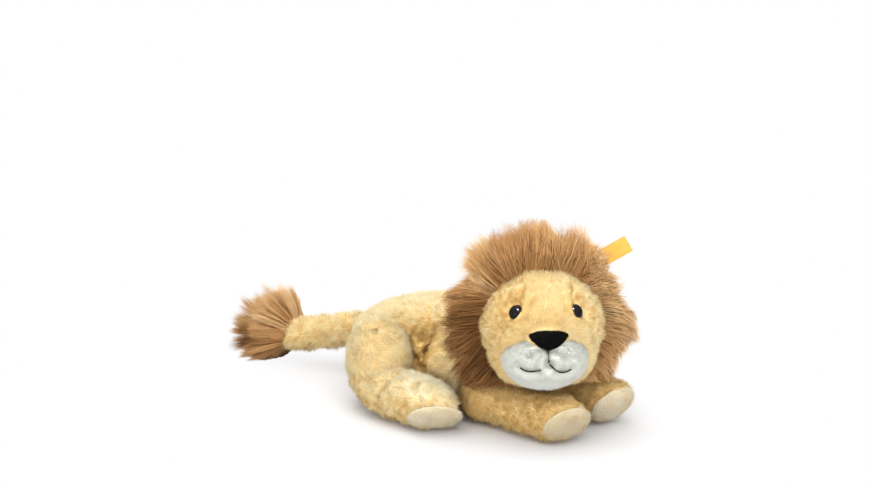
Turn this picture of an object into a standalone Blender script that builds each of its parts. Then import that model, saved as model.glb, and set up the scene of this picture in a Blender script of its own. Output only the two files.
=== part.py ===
"""A lying plush lion: sewn plush covers over loose fibre filling.

Every piece is a solid of its own at its real size, in metres. The lion lies on
its belly facing -Y with its paws stretched ahead, its head turned to its own
right, and its tail out behind. Its right is -X.
"""

from math import asin, cos, pi, radians, sin, sqrt

import bmesh
import bpy
from mathutils import Matrix, Vector

# Fabric, gaps and flats
PLUSH = 0.0022            # plush fabric: its backing and the dense foot of the pile
SEAM_GAP = 0.0003         # between two pieces that lie against each other
FILL_GAP = 0.0008         # between a filling and the cover round it
TURN_GAP = 0.0009         # between a piece that turns and the one it turns in
FLOOR_FLAT = 0.0005       # how far a round underside is pressed flat
THREAD = 0.0011           # stitched thread
OVERRUN = 0.010           # how far a cutting shape runs past what it cuts

# Where the lion lies
PAW_REACH_Y = -0.1617     # the middle of the front paws, ahead of the origin

# Torso
SHOULDER_WIDTH = 0.100
SHOULDER_HEIGHT = 0.086
SHOULDER_SETBACK = 0.110  # from the middle of the front paws back to the shoulders
BACK_LENGTH = 0.120       # from the shoulders back to the rump's end
RUMP_BLUNTNESS = 2.6      # 2 is a ball, and higher is blunter
WAIST_SHARES = ((0.0, 1.0), (0.38, 0.87), (0.72, 0.95), (1.0, 0.92))
RUMP_HEIGHT_SHARES = ((0.0, 1.0), (0.5, 0.95), (1.0, 0.84))
NECK_HOLE = 0.030         # the opening sewn shut under the head

# Head
HEAD_WIDTH = 0.096
HEAD_DEPTH = 0.092
HEAD_HEIGHT = 0.086
HEAD_REACH = 0.0795       # from the neck's upright axis to the middle of the head
HEAD_LEAN = radians(11)   # how far the neck bends to the lion's right
HEAD_TURN = radians(47)   # how far the face looks to the lion's right
CHIN_ROOM = 0.0012        # between the forelegs and everything of the head
NECK_WIDTH = 0.058
NECK_SHARE = 0.33         # the neck's middle, from the head's middle towards the shoulders
NECK_DROP = 0.016

# Face
SNOUT_WIDTH = 0.038
SNOUT_HEIGHT = 0.030
SNOUT_LENGTH = 0.054
SNOUT_DROP = 0.002
MUZZLE_WIDTH = 0.066
MUZZLE_HEIGHT = 0.050
MUZZLE_DEPTH = 0.062
MUZZLE_AHEAD = 0.027
MUZZLE_DROP = 0.0165
NOSE_WIDTH = 0.0394
NOSE_HEIGHT = 0.0140
NOSE_DEPTH = 0.010
NOSE_AHEAD = 0.0555
NOSE_RISE = 0.0041
NOSE_POINT_SHARE = 0.30   # its width at the bottom, as a share of the top's
NOSE_TAPER = 0.75         # how the width grows upwards
NOSE_FULLNESS = 0.18      # how much its sides are filled out
NOSE_FULLEST_SHARE = 1.3
EYE = 0.012
EYE_DOME = 0.0045
EYE_SPREAD = radians(32)
EYE_LIFT = radians(27)
SHANK = 0.003
SHANK_LENGTH = 0.009
WASHER = 0.013
WASHER_THICKNESS = 0.0015
EYE_HOLE = 0.0044
PHILTRUM_LENGTH = 0.0128
LIP_GAP = 0.0030          # from the nose's lower edge to the first stitch
MOUTH_WIDTH = 0.0185
MOUTH_DIP = 0.0035
MOUTH_SPAN_SHARES = (0.15, 0.87)   # the part of a half wave that the mouth follows
DIMPLE_SPREAD = 0.0145
DIMPLE_DROP = 0.0125
DIMPLE_STITCH = 0.0032

# Mane, with its long pile brushed out from the edge of the face
MANE_WIDTH = 0.136
MANE_HEIGHT = 0.136
MANE_LIFT = 0.003
MANE_BACK = 0.060         # how far it covers the head behind the head's middle
MANE_EDGE_AHEAD = 0.004   # where it is sewn round the face, ahead of the head's middle
MANE_LIP = 0.012          # how far the pile stands ahead of that seam
MANE_SETBACK = 0.010      # the low mane stays this far ahead of the shoulders' middle
MANE_SIDE_SHARES = (0.975, 0.55)   # of the half width and of the lip, where the side turns
MANE_FRONT_SHARE = 0.86            # of the half width, where the lip is fullest

# Ears
EAR_WIDTH = 0.034
EAR_HEIGHT = 0.030
EAR_THICKNESS = 0.009
EAR_OUT = 0.056           # from the head's middle to the middle of the ear
EAR_ANGLE = radians(50)   # above the level line across the head
EAR_BEHIND = 0.008
EAR_RANGE = 12            # degrees each way
EAR_ROOM = 0.0030         # in the mane, beyond the ear's round edge

# Ribbon tab in the seam of the left ear
TAB_WIDTH = 0.013
TAB_LENGTH = 0.0185       # outside the seam
TAB_THICKNESS = 0.0009
TAB_ANGLE = radians(30)   # above level
TAB_SEAT_ANGLE = radians(26)   # where it leaves the ear's edge, seen from the ear's middle
TAB_SUNK = 0.003          # its root, inside the mane's pile
TAB_RANGE = 30            # degrees each way

# Front legs
FORELEG_SPREAD = 0.057    # between the middles of the two paws
FORELEG_SETBACK = 0.076   # from the middle of the paw back to the shoulder's axis
SHOULDER_BALL = 0.041
SHOULDER_ROUND = 0.004    # the corner of the room that the shoulder turns in
FORELEG_WAIST = 0.036
FORELEG_WAIST_SHARE = 0.35   # of the way from the shoulder to the paw's end
FOREPAW = 0.041
FORELEG_SHARES = ((0.0, 1.0), (0.18, 0.1), (FORELEG_WAIST_SHARE, 0.0), (0.62, 0.4),
                  (0.86, 1.0), (1.0, 1.0))
PAW_BLUNTNESS = 7
SOLE_BLUNTNESS = 0.8      # below 1 the sole keeps its fullness out to its edge
FORESOLE = 0.038
FORESOLE_DOME = 0.008
FORESOLE_AHEAD = 0.006    # from the middle of the paw to the sole's flat back
FORESOLE_YAW = (radians(-24), radians(-14))   # right and left, turned to the lion's right
FORESOLE_PITCH = radians(35)                   # below level

# Rear legs
HIP_OUT = 0.0045          # from the shoulders' side out to the hip's upright axis
HIP_SETBACK = 0.161       # from the middle of the front paws back to the hips
THIGH_WIDTH = 0.052
THIGH_HEIGHT = 0.074
REARFOOT = 0.0415
REARFOOT_OUT = 0.0140     # from the hip's axis out to the middle line of the foot
HEEL_AHEAD = 0.016        # from the hip's axis forward to the heel
TOE_AHEAD = 0.068
FOOT_BLUNTNESS = 3.2
REARSOLE_LENGTH = 0.042
REARSOLE_WIDTH = 0.034
REARSOLE_DOME = 0.007
REARSOLE_AHEAD = 0.011
REARSOLE_FACING = Vector((-0.5, -0.5, -0.7))   # of the right foot

# Tail
TAIL_ROOT = 0.029
TAIL_TIP = 0.0275
TAIL_LENGTH = 0.079
TAIL_OUT = 0.006          # from the rump's end to the tail's upright axis
TAIL_HEIGHT = 0.0345      # of its middle line at the rump
TAIL_TIP_HEIGHT = 0.0225  # of its middle line where it lies
TAIL_BEND = 0.020         # how far its tip lies to the lion's right
TAIL_BLUNTNESS = 9
TAIL_MOUTH_SHARE = 0.6    # the opening at its root, as a share of its width
TASSEL_LENGTH = 0.054
TASSEL_WIDTH = 0.054
TASSEL_BLUNTNESS = 4
TASSEL_OVERLAP = 0.026    # how much of the tail goes into the tassel
TASSEL_SHARES = ((0.0, 0.74), (0.25, 0.9), (0.55, 1.0), (1.0, 1.0))

# Shading
SMOOTH_ANGLE = radians(40)

# Places that follow from the sizes
SHOULDER_Y = PAW_REACH_Y + SHOULDER_SETBACK
SHOULDER_Z = SHOULDER_HEIGHT / 2 - FLOOR_FLAT
RUMP_Y = SHOULDER_Y + BACK_LENGTH
HIP_X = SHOULDER_WIDTH / 2 + HIP_OUT
FORELEG_TOP = max(SHOULDER_BALL, FOREPAW, REARFOOT) - FLOOR_FLAT
HEAD_Z = FORELEG_TOP + CHIN_ROOM + max(HEAD_HEIGHT / 2, MUZZLE_HEIGHT / 2 + MUZZLE_DROP)
HEAD_OFFSET = Vector((-sin(HEAD_LEAN), -cos(HEAD_LEAN), 0)) * HEAD_REACH

# Colours
CREAM = (0.87, 0.66, 0.33)
FIBRE = (0.90, 0.90, 0.88)
MANE_BROWN = (0.40, 0.21, 0.09)
SOLE_BEIGE = (0.60, 0.50, 0.34)
MUZZLE_WHITE = (0.80, 0.81, 0.77)
BLACK = (0.01, 0.01, 0.01)
TAB_YELLOW = (0.95, 0.58, 0.14)
WASHER_WHITE = (0.75, 0.75, 0.72)


def clear_scene():
    """Removes what the opened file holds."""
    for item in list(bpy.data.objects):
        bpy.data.objects.remove(item)


def finish(name, colour, roughness):
    """One plain finish, named for its piece."""
    made = bpy.data.materials.new(name)
    made.use_nodes = True
    shader = made.node_tree.nodes["Principled BSDF"]
    shader.inputs["Base Color"].default_value = (*colour, 1)
    shader.inputs["Roughness"].default_value = roughness
    return made


def axis_at(name, place, turn=0.0):
    """An empty on an upright axis, which carries the pieces that turn about it."""
    carrier = bpy.data.objects.new(name, None)
    bpy.context.scene.collection.objects.link(carrier)
    carrier.location = place
    carrier.rotation_euler = (0, 0, turn)
    return carrier


def stand(name, mesh, carrier=None, place=(0, 0, 0)):
    """Puts a mesh in the scene as an object."""
    made = bpy.data.objects.new(name, mesh)
    bpy.context.scene.collection.objects.link(made)
    made.parent = carrier
    made.location = place
    return made


def show(piece, colour, roughness):
    """Gives a finished piece its colour and rounds its shading."""
    piece.data.materials.append(finish(piece.name, colour, roughness))
    if piece.type == 'MESH':
        piece.data.shade_smooth()
        piece.data.set_sharp_from_angle(angle=SMOOTH_ANGLE)
    return piece


def hidden(tool):
    """Marks an object that only shapes others."""
    tool.hide_render = True
    tool.display_type = 'WIRE'
    return tool


def shaped(piece, tool, how):
    """Adds one exact Boolean to a piece."""
    step = piece.modifiers.new(how + " " + tool.name, 'BOOLEAN')
    step.operation = how
    step.object = tool
    step.solver = 'EXACT'
    return piece


def cut(piece, *tools):
    for tool in tools:
        shaped(piece, tool, 'DIFFERENCE')
    return piece


def mesh_from(bm, name):
    """Turns a bmesh into a mesh whose faces point outwards."""
    bmesh.ops.recalc_face_normals(bm, faces=bm.faces)
    if bm.calc_volume(signed=True) < 0:
        bmesh.ops.reverse_faces(bm, faces=bm.faces)
    mesh = bpy.data.meshes.new(name)
    bm.to_mesh(mesh)
    bm.free()
    return mesh


def ball(name, radii, segments=24, rings=14, matrix=None):
    """An ellipsoid about its own middle, its poles up and down."""
    bm = bmesh.new()
    bmesh.ops.create_uvsphere(bm, u_segments=segments, v_segments=rings, radius=1)
    bmesh.ops.scale(bm, vec=Vector(radii), verts=bm.verts)
    if matrix is not None:
        bmesh.ops.transform(bm, matrix=matrix, verts=bm.verts)
    return mesh_from(bm, name)


def swollen(name, section, segments, rings):
    """A soft closed form: a ball whose rings follow section(share) from pole to pole.

    section gives a ring's middle, and the two half widths of the ring as vectors.
    """
    bm = bmesh.new()
    bmesh.ops.create_uvsphere(bm, u_segments=segments, v_segments=rings, radius=1)
    for vert in bm.verts:
        polar = pi / 2 + asin(max(-1.0, min(1.0, -vert.co.z)))
        middle, across, up = section(polar / pi)
        flat = Vector((vert.co.x, vert.co.y))
        if flat.length < sin(pi / rings) / 2:
            vert.co = middle
        else:
            flat.normalize()
            vert.co = middle + across * flat.x + up * flat.y
    return mesh_from(bm, name)


def fattened(mesh, by):
    """A copy of a mesh with its whole surface moved outwards."""
    bm = bmesh.new()
    bm.from_mesh(mesh)
    bm.normal_update()
    moved = [vert.co + vert.normal * by for vert in bm.verts]
    for vert, place in zip(bm.verts, moved):
        vert.co = place
    return mesh_from(bm, mesh.name)


def slab(name, size, matrix):
    """A box for cutting, its middle and turn given by a matrix."""
    bm = bmesh.new()
    bmesh.ops.create_cube(bm, size=1, matrix=matrix @ Matrix.Diagonal((*size, 1)))
    return mesh_from(bm, name)


def eased(shares, at):
    """Reads a table of shares, with a smooth slope between its points."""
    for (start, low), (end, high) in zip(shares, shares[1:]):
        if at <= end:
            part = (at - start) / (end - start)
            part = part * part * (3 - 2 * part)
            return low + (high - low) * part
    return shares[-1][1]


def facing(direction, roll_from=Vector((0, 0, 1))):
    """A turn whose Z axis points along a direction and whose Y axis leans upwards."""
    z_axis = direction.normalized()
    x_axis = roll_from.cross(z_axis).normalized()
    y_axis = z_axis.cross(x_axis)
    return Matrix((x_axis, y_axis, z_axis)).transposed().to_4x4()


def turned_profile(name, points, segments, matrix=None):
    """A closed solid turned about Z from (radius, height) points, top to bottom."""
    bm = bmesh.new()
    verts = [bm.verts.new((radius, 0, height)) for radius, height in points]
    edges = [bm.edges.new(pair) for pair in zip(verts, verts[1:])]
    bmesh.ops.spin(bm, geom=verts + edges, cent=(0, 0, 0), axis=(0, 0, 1),
                   angle=2 * pi, steps=segments, use_merge=True, use_duplicate=False)
    bmesh.ops.remove_doubles(bm, verts=bm.verts, dist=SEAM_GAP / 10)
    if matrix is not None:
        bmesh.ops.transform(bm, matrix=matrix, verts=bm.verts)
    return mesh_from(bm, name)


def thread_along(name, points, carrier):
    """A stitched thread through the points that it passes."""
    curve = bpy.data.curves.new(name, 'CURVE')
    curve.dimensions = '3D'
    curve.bevel_depth = THREAD / 2
    curve.bevel_resolution = 1
    curve.use_fill_caps = True
    line = curve.splines.new('POLY')
    line.points.add(len(points) - 1)
    for slot, point in zip(line.points, points):
        slot.co = (*point, 1)
    return stand(name, curve, carrier)


# Torso

def torso_section(share):
    """A round chest that turns about the neck's axis, then the back down to the rump."""
    polar = share * pi
    along = -cos(polar)
    if along <= 0:
        reach = SHOULDER_WIDTH / 2 * along
        width = SHOULDER_WIDTH / 2 * sin(polar)
        height = SHOULDER_HEIGHT / 2 * sin(polar)
        middle_z = SHOULDER_Z
    else:
        fullness = sqrt(max(0.0, 1 - along ** RUMP_BLUNTNESS))
        tall = SHOULDER_HEIGHT / 2 * eased(RUMP_HEIGHT_SHARES, along)
        reach = BACK_LENGTH * along
        width = SHOULDER_WIDTH / 2 * eased(WAIST_SHARES, along) * fullness
        height = tall * fullness
        middle_z = tall - FLOOR_FLAT
    middle = Vector((0, SHOULDER_Y + reach, middle_z))
    return middle, Vector((width, 0, 0)), Vector((0, 0, height))


def make_torso(tools):
    """The torso's cover and the filling that it holds."""
    skin = swollen("torso_cover", torso_section, 24, 16)
    inside = hidden(stand("torso_inside", fattened(skin, -PLUSH)))
    cover = stand("torso_cover", skin)
    cut(cover, inside, tools["floor"], tools["neck_hole"])
    core = swollen("torso_filling", torso_section, 16, 12)
    filling = stand("torso_filling", fattened(core, -PLUSH - FILL_GAP))
    for piece in (cover, filling):
        cut(piece, *tools["sockets"])
    show(cover, CREAM, 0.95)
    show(filling, FIBRE, 1.0)


def chest_dome(name, gap, carrier):
    """The round chest as a ball about the neck's axis."""
    half = SHOULDER_WIDTH / 2 + gap
    mesh = ball(name, (half, half, SHOULDER_HEIGHT / 2 + gap), 32, 18)
    return hidden(stand(name, mesh, carrier, (0, 0, SHOULDER_Z)))


# Head

def head_middle():
    """The middle of the head, in the turned frame of the neck's axis."""
    turned_back = Matrix.Rotation(HEAD_TURN, 3, 'Z')
    middle = turned_back @ HEAD_OFFSET
    middle.z = HEAD_Z
    return middle


def neck_middle():
    """The neck lies between the head's middle and the shoulders."""
    middle = head_middle()
    return Vector((middle.x * (1 - NECK_SHARE), middle.y * (1 - NECK_SHARE),
                   middle.z - NECK_DROP))


def head_skin(name, into, carrier, segments=22, rings=14):
    """The head with its neck and the bridge of its snout, drawn in by a depth."""
    middle = head_middle()
    neck = ball(name + "_neck", [NECK_WIDTH / 2 - into] * 3, 16, 10)
    neck_tool = hidden(stand(name + "_neck", neck, carrier, neck_middle()))
    bridge = ball(name + "_bridge", (SNOUT_WIDTH / 2 - into, SNOUT_LENGTH / 2 - into,
                                     SNOUT_HEIGHT / 2 - into), 16, 8)
    front = NOSE_AHEAD - SNOUT_LENGTH / 2
    bridge_tool = hidden(stand(name + "_bridge", bridge, carrier,
                               middle - Vector((0, front, SNOUT_DROP))))
    skin = ball(name, (HEAD_WIDTH / 2 - into, HEAD_DEPTH / 2 - into,
                       HEAD_HEIGHT / 2 - into), segments, rings)
    piece = stand(name, skin, carrier, middle)
    shaped(piece, neck_tool, 'UNION')
    shaped(piece, bridge_tool, 'UNION')
    return piece


def eye_direction(side):
    """Out of the head at an eye."""
    return Vector((side * sin(EYE_SPREAD) * cos(EYE_LIFT), -cos(EYE_SPREAD) * cos(EYE_LIFT),
                   sin(EYE_LIFT)))


def eye_seat(side):
    """Where an eye sits on the head, as a matrix whose Z axis points outwards."""
    way = eye_direction(side)
    spot = Vector((way.x * HEAD_WIDTH / 2, way.y * HEAD_DEPTH / 2, way.z * HEAD_HEIGHT / 2))
    normal = Vector((spot.x / HEAD_WIDTH ** 2, spot.y / HEAD_DEPTH ** 2,
                     spot.z / HEAD_HEIGHT ** 2))
    return Matrix.Translation(head_middle() + spot) @ facing(normal)


def rod(name, width, start, end, seat, carrier, segments=16):
    """A round cutting rod along a seat's Z axis."""
    points = ((0, end), (width / 2, end), (width / 2, start), (0, start))
    return hidden(stand(name, turned_profile(name, points, segments, seat), carrier))


def make_eye(side, label, carrier):
    """A domed safety eye on its ribbed shank, and the washer that locks it inside."""
    seat = eye_seat(side)
    base = SEAM_GAP
    bow = (WASHER / 2) ** 2 / HEAD_DEPTH
    washer_top = -PLUSH - bow - TURN_GAP
    steps = 4
    dome = [(EYE / 2 * sin(pi / 2 * step / steps), base + EYE_DOME * cos(pi / 2 * step / steps))
            for step in range(steps + 1)]
    stem = [(SHANK / 2, base), (SHANK / 2, base - SHANK_LENGTH), (0, base - SHANK_LENGTH)]
    eye = stand("eye_" + label, turned_profile("eye_" + label, dome + stem, 16, seat), carrier)
    show(eye, BLACK, 0.05)
    hole = SHANK / 2 + SEAM_GAP
    low = washer_top - WASHER_THICKNESS
    ring = ((hole, washer_top), (WASHER / 2, washer_top), (WASHER / 2, low), (hole, low),
            (hole, washer_top))
    washer = turned_profile("eye_washer_" + label, ring, 16, seat)
    show(stand("eye_washer_" + label, washer, carrier), WASHER_WHITE, 0.4)
    through = rod("eye_hole_" + label, EYE_HOLE, -PLUSH - OVERRUN, OVERRUN, seat, carrier, 12)
    pocket_end = base - SHANK_LENGTH - SEAM_GAP
    pocket = rod("eye_pocket_" + label, WASHER + 2 * FILL_GAP, pocket_end, OVERRUN, seat,
                 carrier)
    return through, pocket


def muzzle_radii(grow=0.0):
    return (MUZZLE_WIDTH / 2 + grow, MUZZLE_DEPTH / 2 + grow, MUZZLE_HEIGHT / 2 + grow)


def muzzle_middle():
    return head_middle() - Vector((0, MUZZLE_AHEAD, MUZZLE_DROP))


def on_muzzle(across, up, lift):
    """The point of the muzzle's front at a place across and up, lifted off it."""
    wide, deep, tall = muzzle_radii(lift)
    ahead = sqrt(max(0.0, 1 - (across / wide) ** 2 - (up / tall) ** 2))
    return muzzle_middle() + Vector((across, -deep * ahead, up))


def nose_mesh(grow):
    """A padded triangle with round corners, wide at the top."""
    bm = bmesh.new()
    bmesh.ops.create_uvsphere(bm, u_segments=18, v_segments=10, radius=1)
    for vert in bm.verts:
        height_share = (1 + vert.co.z) / 2
        narrow = NOSE_POINT_SHARE + (1 - NOSE_POINT_SHARE) * height_share ** NOSE_TAPER
        full = max(abs(vert.co.x), SEAM_GAP) ** -NOSE_FULLNESS
        vert.co.x *= narrow * min(full, NOSE_FULLEST_SHARE)
    bmesh.ops.scale(bm, vec=(NOSE_WIDTH / 2, NOSE_DEPTH / 2, NOSE_HEIGHT / 2), verts=bm.verts)
    mesh = mesh_from(bm, "nose")
    return fattened(mesh, grow) if grow else mesh


def mouth_line():
    """How far below the nose the mouth's threads meet, and their curve."""
    top = NOSE_RISE - NOSE_HEIGHT / 2 + MUZZLE_DROP
    return top - PHILTRUM_LENGTH


def make_threads(carrier):
    """The stitched lip, mouth and dimples."""
    lift = THREAD / 2 + SEAM_GAP
    meet = mouth_line()
    steps = 6
    apart = THREAD / 2 + SEAM_GAP
    top = meet + PHILTRUM_LENGTH - LIP_GAP
    drop = (top - meet - THREAD) / steps
    lip = [on_muzzle(0, top - drop * step, lift) for step in range(steps + 1)]
    show(thread_along("lip_thread", lip, carrier), BLACK, 0.8)
    for side, label in ((-1, "right"), (1, "left")):
        curve = []
        for step in range(steps + 3):
            share = step / (steps + 2)
            across = side * (apart + (MOUTH_WIDTH - apart) * share)
            wave = MOUTH_SPAN_SHARES[0] + (MOUTH_SPAN_SHARES[1] - MOUTH_SPAN_SHARES[0]) * share
            dip = MOUTH_DIP * sin(pi * wave)
            curve.append(on_muzzle(across, meet - THREAD - dip, lift))
        show(thread_along("mouth_thread_" + label, curve, carrier), BLACK, 0.8)
        spot = side * DIMPLE_SPREAD
        half = DIMPLE_STITCH / 2
        height = MUZZLE_DROP - DIMPLE_DROP
        stitch = [on_muzzle(spot + half * part, height, lift) for part in (-1, 0, 1)]
        show(thread_along("dimple_thread_" + label, stitch, carrier), MUZZLE_WHITE, 0.8)


def make_face(carrier, head_block):
    """The white muzzle and the black nose, laid on the head."""
    muzzle = stand("muzzle", ball("muzzle", muzzle_radii(), 24, 16), carrier, muzzle_middle())
    nose_place = head_middle() - Vector((0, NOSE_AHEAD, -NOSE_RISE))
    muzzle_block = ball("muzzle_block", muzzle_radii(SEAM_GAP), 24, 16)
    block = hidden(stand("muzzle_block", muzzle_block, carrier, muzzle_middle()))
    nose = stand("nose", nose_mesh(0), carrier, nose_place)
    cut(muzzle, head_block)
    cut(nose, head_block, block)
    show(muzzle, MUZZLE_WHITE, 0.95)
    show(nose, BLACK, 0.9)


def make_mane(carrier, clearances):
    """A bowl of long pile round the face, open at the face and at the neck."""
    middle = head_middle()
    stretch = MANE_HEIGHT / MANE_WIDTH
    inner = HEAD_WIDTH / 2 - PLUSH
    steps = 6
    back = [(MANE_WIDTH / 2 * sin(pi / 2 * step / steps), -MANE_BACK * cos(pi / 2 * step / steps))
            for step in range(steps + 1)]
    half = MANE_WIDTH / 2
    lip = [(half * MANE_SIDE_SHARES[0], MANE_LIP * MANE_SIDE_SHARES[1]),
           (half * MANE_FRONT_SHARE, MANE_LIP), (inner, MANE_EDGE_AHEAD), (0, MANE_EDGE_AHEAD)]
    upright = Matrix.Rotation(radians(90), 4, 'X')
    mesh = turned_profile("mane", list(reversed(back + lip)), 26,
                          Matrix.Diagonal((1, 1, stretch, 1)) @ upright)
    place = middle + Vector((0, 0, MANE_LIFT))
    mane = stand("mane", mesh, carrier, place)
    cut(mane, *clearances)
    show(mane, MANE_BROWN, 0.95)


def mane_clearances(carrier, head_block):
    """What the mane makes room for: the head, the chest, the back and the forelegs."""
    chest = chest_dome("mane_chest", TURN_GAP + FLOOR_FLAT, carrier)
    size = Vector((1, 1, 1)) * (MANE_WIDTH + SHOULDER_WIDTH)
    behind_y = SHOULDER_Y - MANE_SETBACK + size.y / 2
    behind_z = SHOULDER_HEIGHT + TURN_GAP - size.z / 2
    behind = slab("mane_behind", size, Matrix.Translation((0, behind_y, behind_z)))
    below_z = FORELEG_TOP + CHIN_ROOM - size.z / 2
    below = slab("mane_below", size, Matrix.Translation((0, PAW_REACH_Y, below_z)))
    return (head_block, chest, hidden(stand("mane_behind", behind)),
            hidden(stand("mane_below", below)))


# Ears and tab

def ear_middle(side):
    """The middle of an ear, from the head's middle."""
    return Vector((side * cos(EAR_ANGLE) * EAR_OUT, EAR_BEHIND, sin(EAR_ANGLE) * EAR_OUT))


def ear_frame(side):
    """An ear's own frame: Z out of the head, X along its hinge, Y through it."""
    out = Vector((side * cos(EAR_ANGLE), 0, sin(EAR_ANGLE)))
    return facing(out, Vector((0, 1, 0)))


def ear_root():
    """How far out of the head's middle an ear bends."""
    return HEAD_WIDTH / 2 - PLUSH


def ear_mesh(name, side, grow_wide, grow_thick, grow_high):
    """A flat round ear, or the room that it bends in."""
    radii = (EAR_WIDTH / 2 + grow_wide, EAR_THICKNESS / 2 + grow_thick,
             EAR_HEIGHT / 2 + grow_high)
    matrix = Matrix.Translation(ear_middle(side)) @ ear_frame(side)
    return ball(name, radii, 18, 10, matrix)


def make_ear(side, label, carrier):
    """One ear, and the room in the mane that it bends in."""
    name = "ear_" + label
    ear = stand(name, ear_mesh(name, side, 0, 0, 0), carrier, head_middle())
    root = hidden(stand(name + "_root", ball(name + "_root", root_radii(), 24, 16), carrier,
                        head_middle()))
    cut(ear, root)
    show(ear, MANE_BROWN, 0.95)
    room = ear_mesh(name + "_room", side, 2 * TURN_GAP, ear_swing() + 2 * TURN_GAP, EAR_ROOM)
    return hidden(stand(name + "_room", room, carrier, head_middle()))


def ear_swing():
    """How far an ear's round edge moves as it bends."""
    return (EAR_OUT - ear_root() + EAR_HEIGHT / 2) * sin(radians(EAR_RANGE))


def root_radii():
    """The head's surface, with the room that an ear needs to bend on it."""
    bend_room = EAR_THICKNESS / 2 * sin(radians(EAR_RANGE)) + SEAM_GAP
    return (HEAD_WIDTH / 2 + bend_room, HEAD_DEPTH / 2 + bend_room, HEAD_HEIGHT / 2 + bend_room)


def tab_root():
    """Where the ribbon leaves the left ear's edge, and its way out, in the head's frame."""
    seat = Vector((cos(TAB_SEAT_ANGLE), 0, sin(TAB_SEAT_ANGLE)))
    ear = ear_frame(1).to_3x3().inverted() @ seat
    reach = 1 / sqrt((ear.x / (EAR_WIDTH / 2)) ** 2 + (ear.z / (EAR_HEIGHT / 2)) ** 2)
    way = Vector((cos(TAB_ANGLE), 0, sin(TAB_ANGLE)))
    return head_middle() + ear_middle(1) + seat * reach, way


def tab_slab(name, wide, thick):
    """The ribbon with its sewn end, or the room for it."""
    root, way = tab_root()
    middle = root + way * (TAB_LENGTH - TAB_SUNK) / 2
    place = Matrix.Translation(middle) @ facing(way, Vector((0, 1, 0)))
    size = (TAB_WIDTH + wide, TAB_THICKNESS + thick, TAB_LENGTH + TAB_SUNK)
    return slab(name, size, place)


def make_tab(carrier):
    """A folded ribbon, bare on both faces, and the room in the mane that it bends in."""
    ear = hidden(stand("tab_ear", ear_mesh("tab_ear", 1, SEAM_GAP, SEAM_GAP, SEAM_GAP), carrier,
                       head_middle()))
    tab = stand("ribbon_tab", tab_slab("ribbon_tab", 0, 0), carrier)
    cut(tab, ear)
    show(tab, TAB_YELLOW, 0.6)
    swing = 2 * (ear_swing() + 2 * TAB_SUNK * sin(radians(TAB_RANGE)) + TURN_GAP)
    return hidden(stand("tab_room", tab_slab("tab_room", 2 * TURN_GAP, swing), carrier))


def make_head(tools):
    """The head and all that turns with it, about the neck's upright axis."""
    carrier = axis_at("neck_axis", (0, SHOULDER_Y, 0), -HEAD_TURN)
    chest = chest_dome("head_chest", TURN_GAP, carrier)
    inside = hidden(head_skin("head_inside", PLUSH, carrier))
    cover = head_skin("head_cover", 0, carrier)
    filling = head_skin("head_filling", PLUSH + FILL_GAP, carrier, 18, 12)
    block = hidden(head_skin("head_block", -SEAM_GAP, carrier))
    right_hole, right_pocket = make_eye(-1, "right", carrier)
    left_hole, left_pocket = make_eye(1, "left", carrier)
    cut(cover, inside, chest, right_hole, left_hole)
    cut(filling, chest, right_pocket, left_pocket)
    show(cover, CREAM, 0.95)
    show(filling, FIBRE, 1.0)
    make_face(carrier, block)
    make_threads(carrier)
    rooms = [make_ear(-1, "right", carrier), make_ear(1, "left", carrier), make_tab(carrier)]
    make_mane(carrier, (*mane_clearances(carrier, block), *rooms))
    seam_way = Vector((neck_middle().x, neck_middle().y, neck_middle().z - SHOULDER_Z))
    seat = Matrix.Translation(Vector((0, 0, SHOULDER_Z))) @ facing(seam_way)
    tools["neck_hole"] = rod("neck_hole", NECK_HOLE, SHOULDER_WIDTH / 4,
                             SHOULDER_WIDTH / 2 + OVERRUN, seat, carrier, 20)


# Front legs

def foreleg_section(share):
    """A round shoulder, a narrower foreleg and a full paw, all lying on the floor."""
    polar = share * pi
    along = -cos(polar)
    shoulder = SHOULDER_BALL / 2
    if along <= 0:
        radius = shoulder * sin(polar)
        middle = Vector((0, -shoulder * along, shoulder - FLOOR_FLAT))
    else:
        ending = sqrt(max(0.0, 1 - along ** PAW_BLUNTNESS))
        waist = FORELEG_WAIST / 2
        full = shoulder if along < FORELEG_WAIST_SHARE else FOREPAW / 2
        tube = waist + (full - waist) * eased(FORELEG_SHARES, along)
        radius = tube * ending
        reach = FORELEG_SETBACK + FOREPAW / 2
        middle = Vector((0, -reach * along, tube - FLOOR_FLAT))
    return middle, Vector((radius, 0, 0)), Vector((0, 0, radius))


def sole_seat(place, way, ahead):
    """A sole's flat back, its Z axis pointing out of the foot."""
    return Matrix.Translation(place + way * ahead) @ facing(way)


def sole_mesh(name, length, width, dome, seat):
    """A padded sole, flat at the back and domed in front."""
    steps = 5
    points = [(sin(pi / 2 * step / steps) ** SOLE_BLUNTNESS / 2, dome * cos(pi / 2 * step / steps))
              for step in range(steps + 1)]
    stretch = Matrix.Diagonal((length, width, 1, 1))
    return turned_profile(name, points + [(0, 0)], 20, seat @ stretch)


def trim_box(name, seat, size, carrier, gap):
    """Everything beyond a sole's back, left out of the leg."""
    matrix = seat @ Matrix.Translation((0, 0, size / 2 - gap))
    return hidden(stand(name, slab(name, (size, size, size), matrix), carrier))


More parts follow.
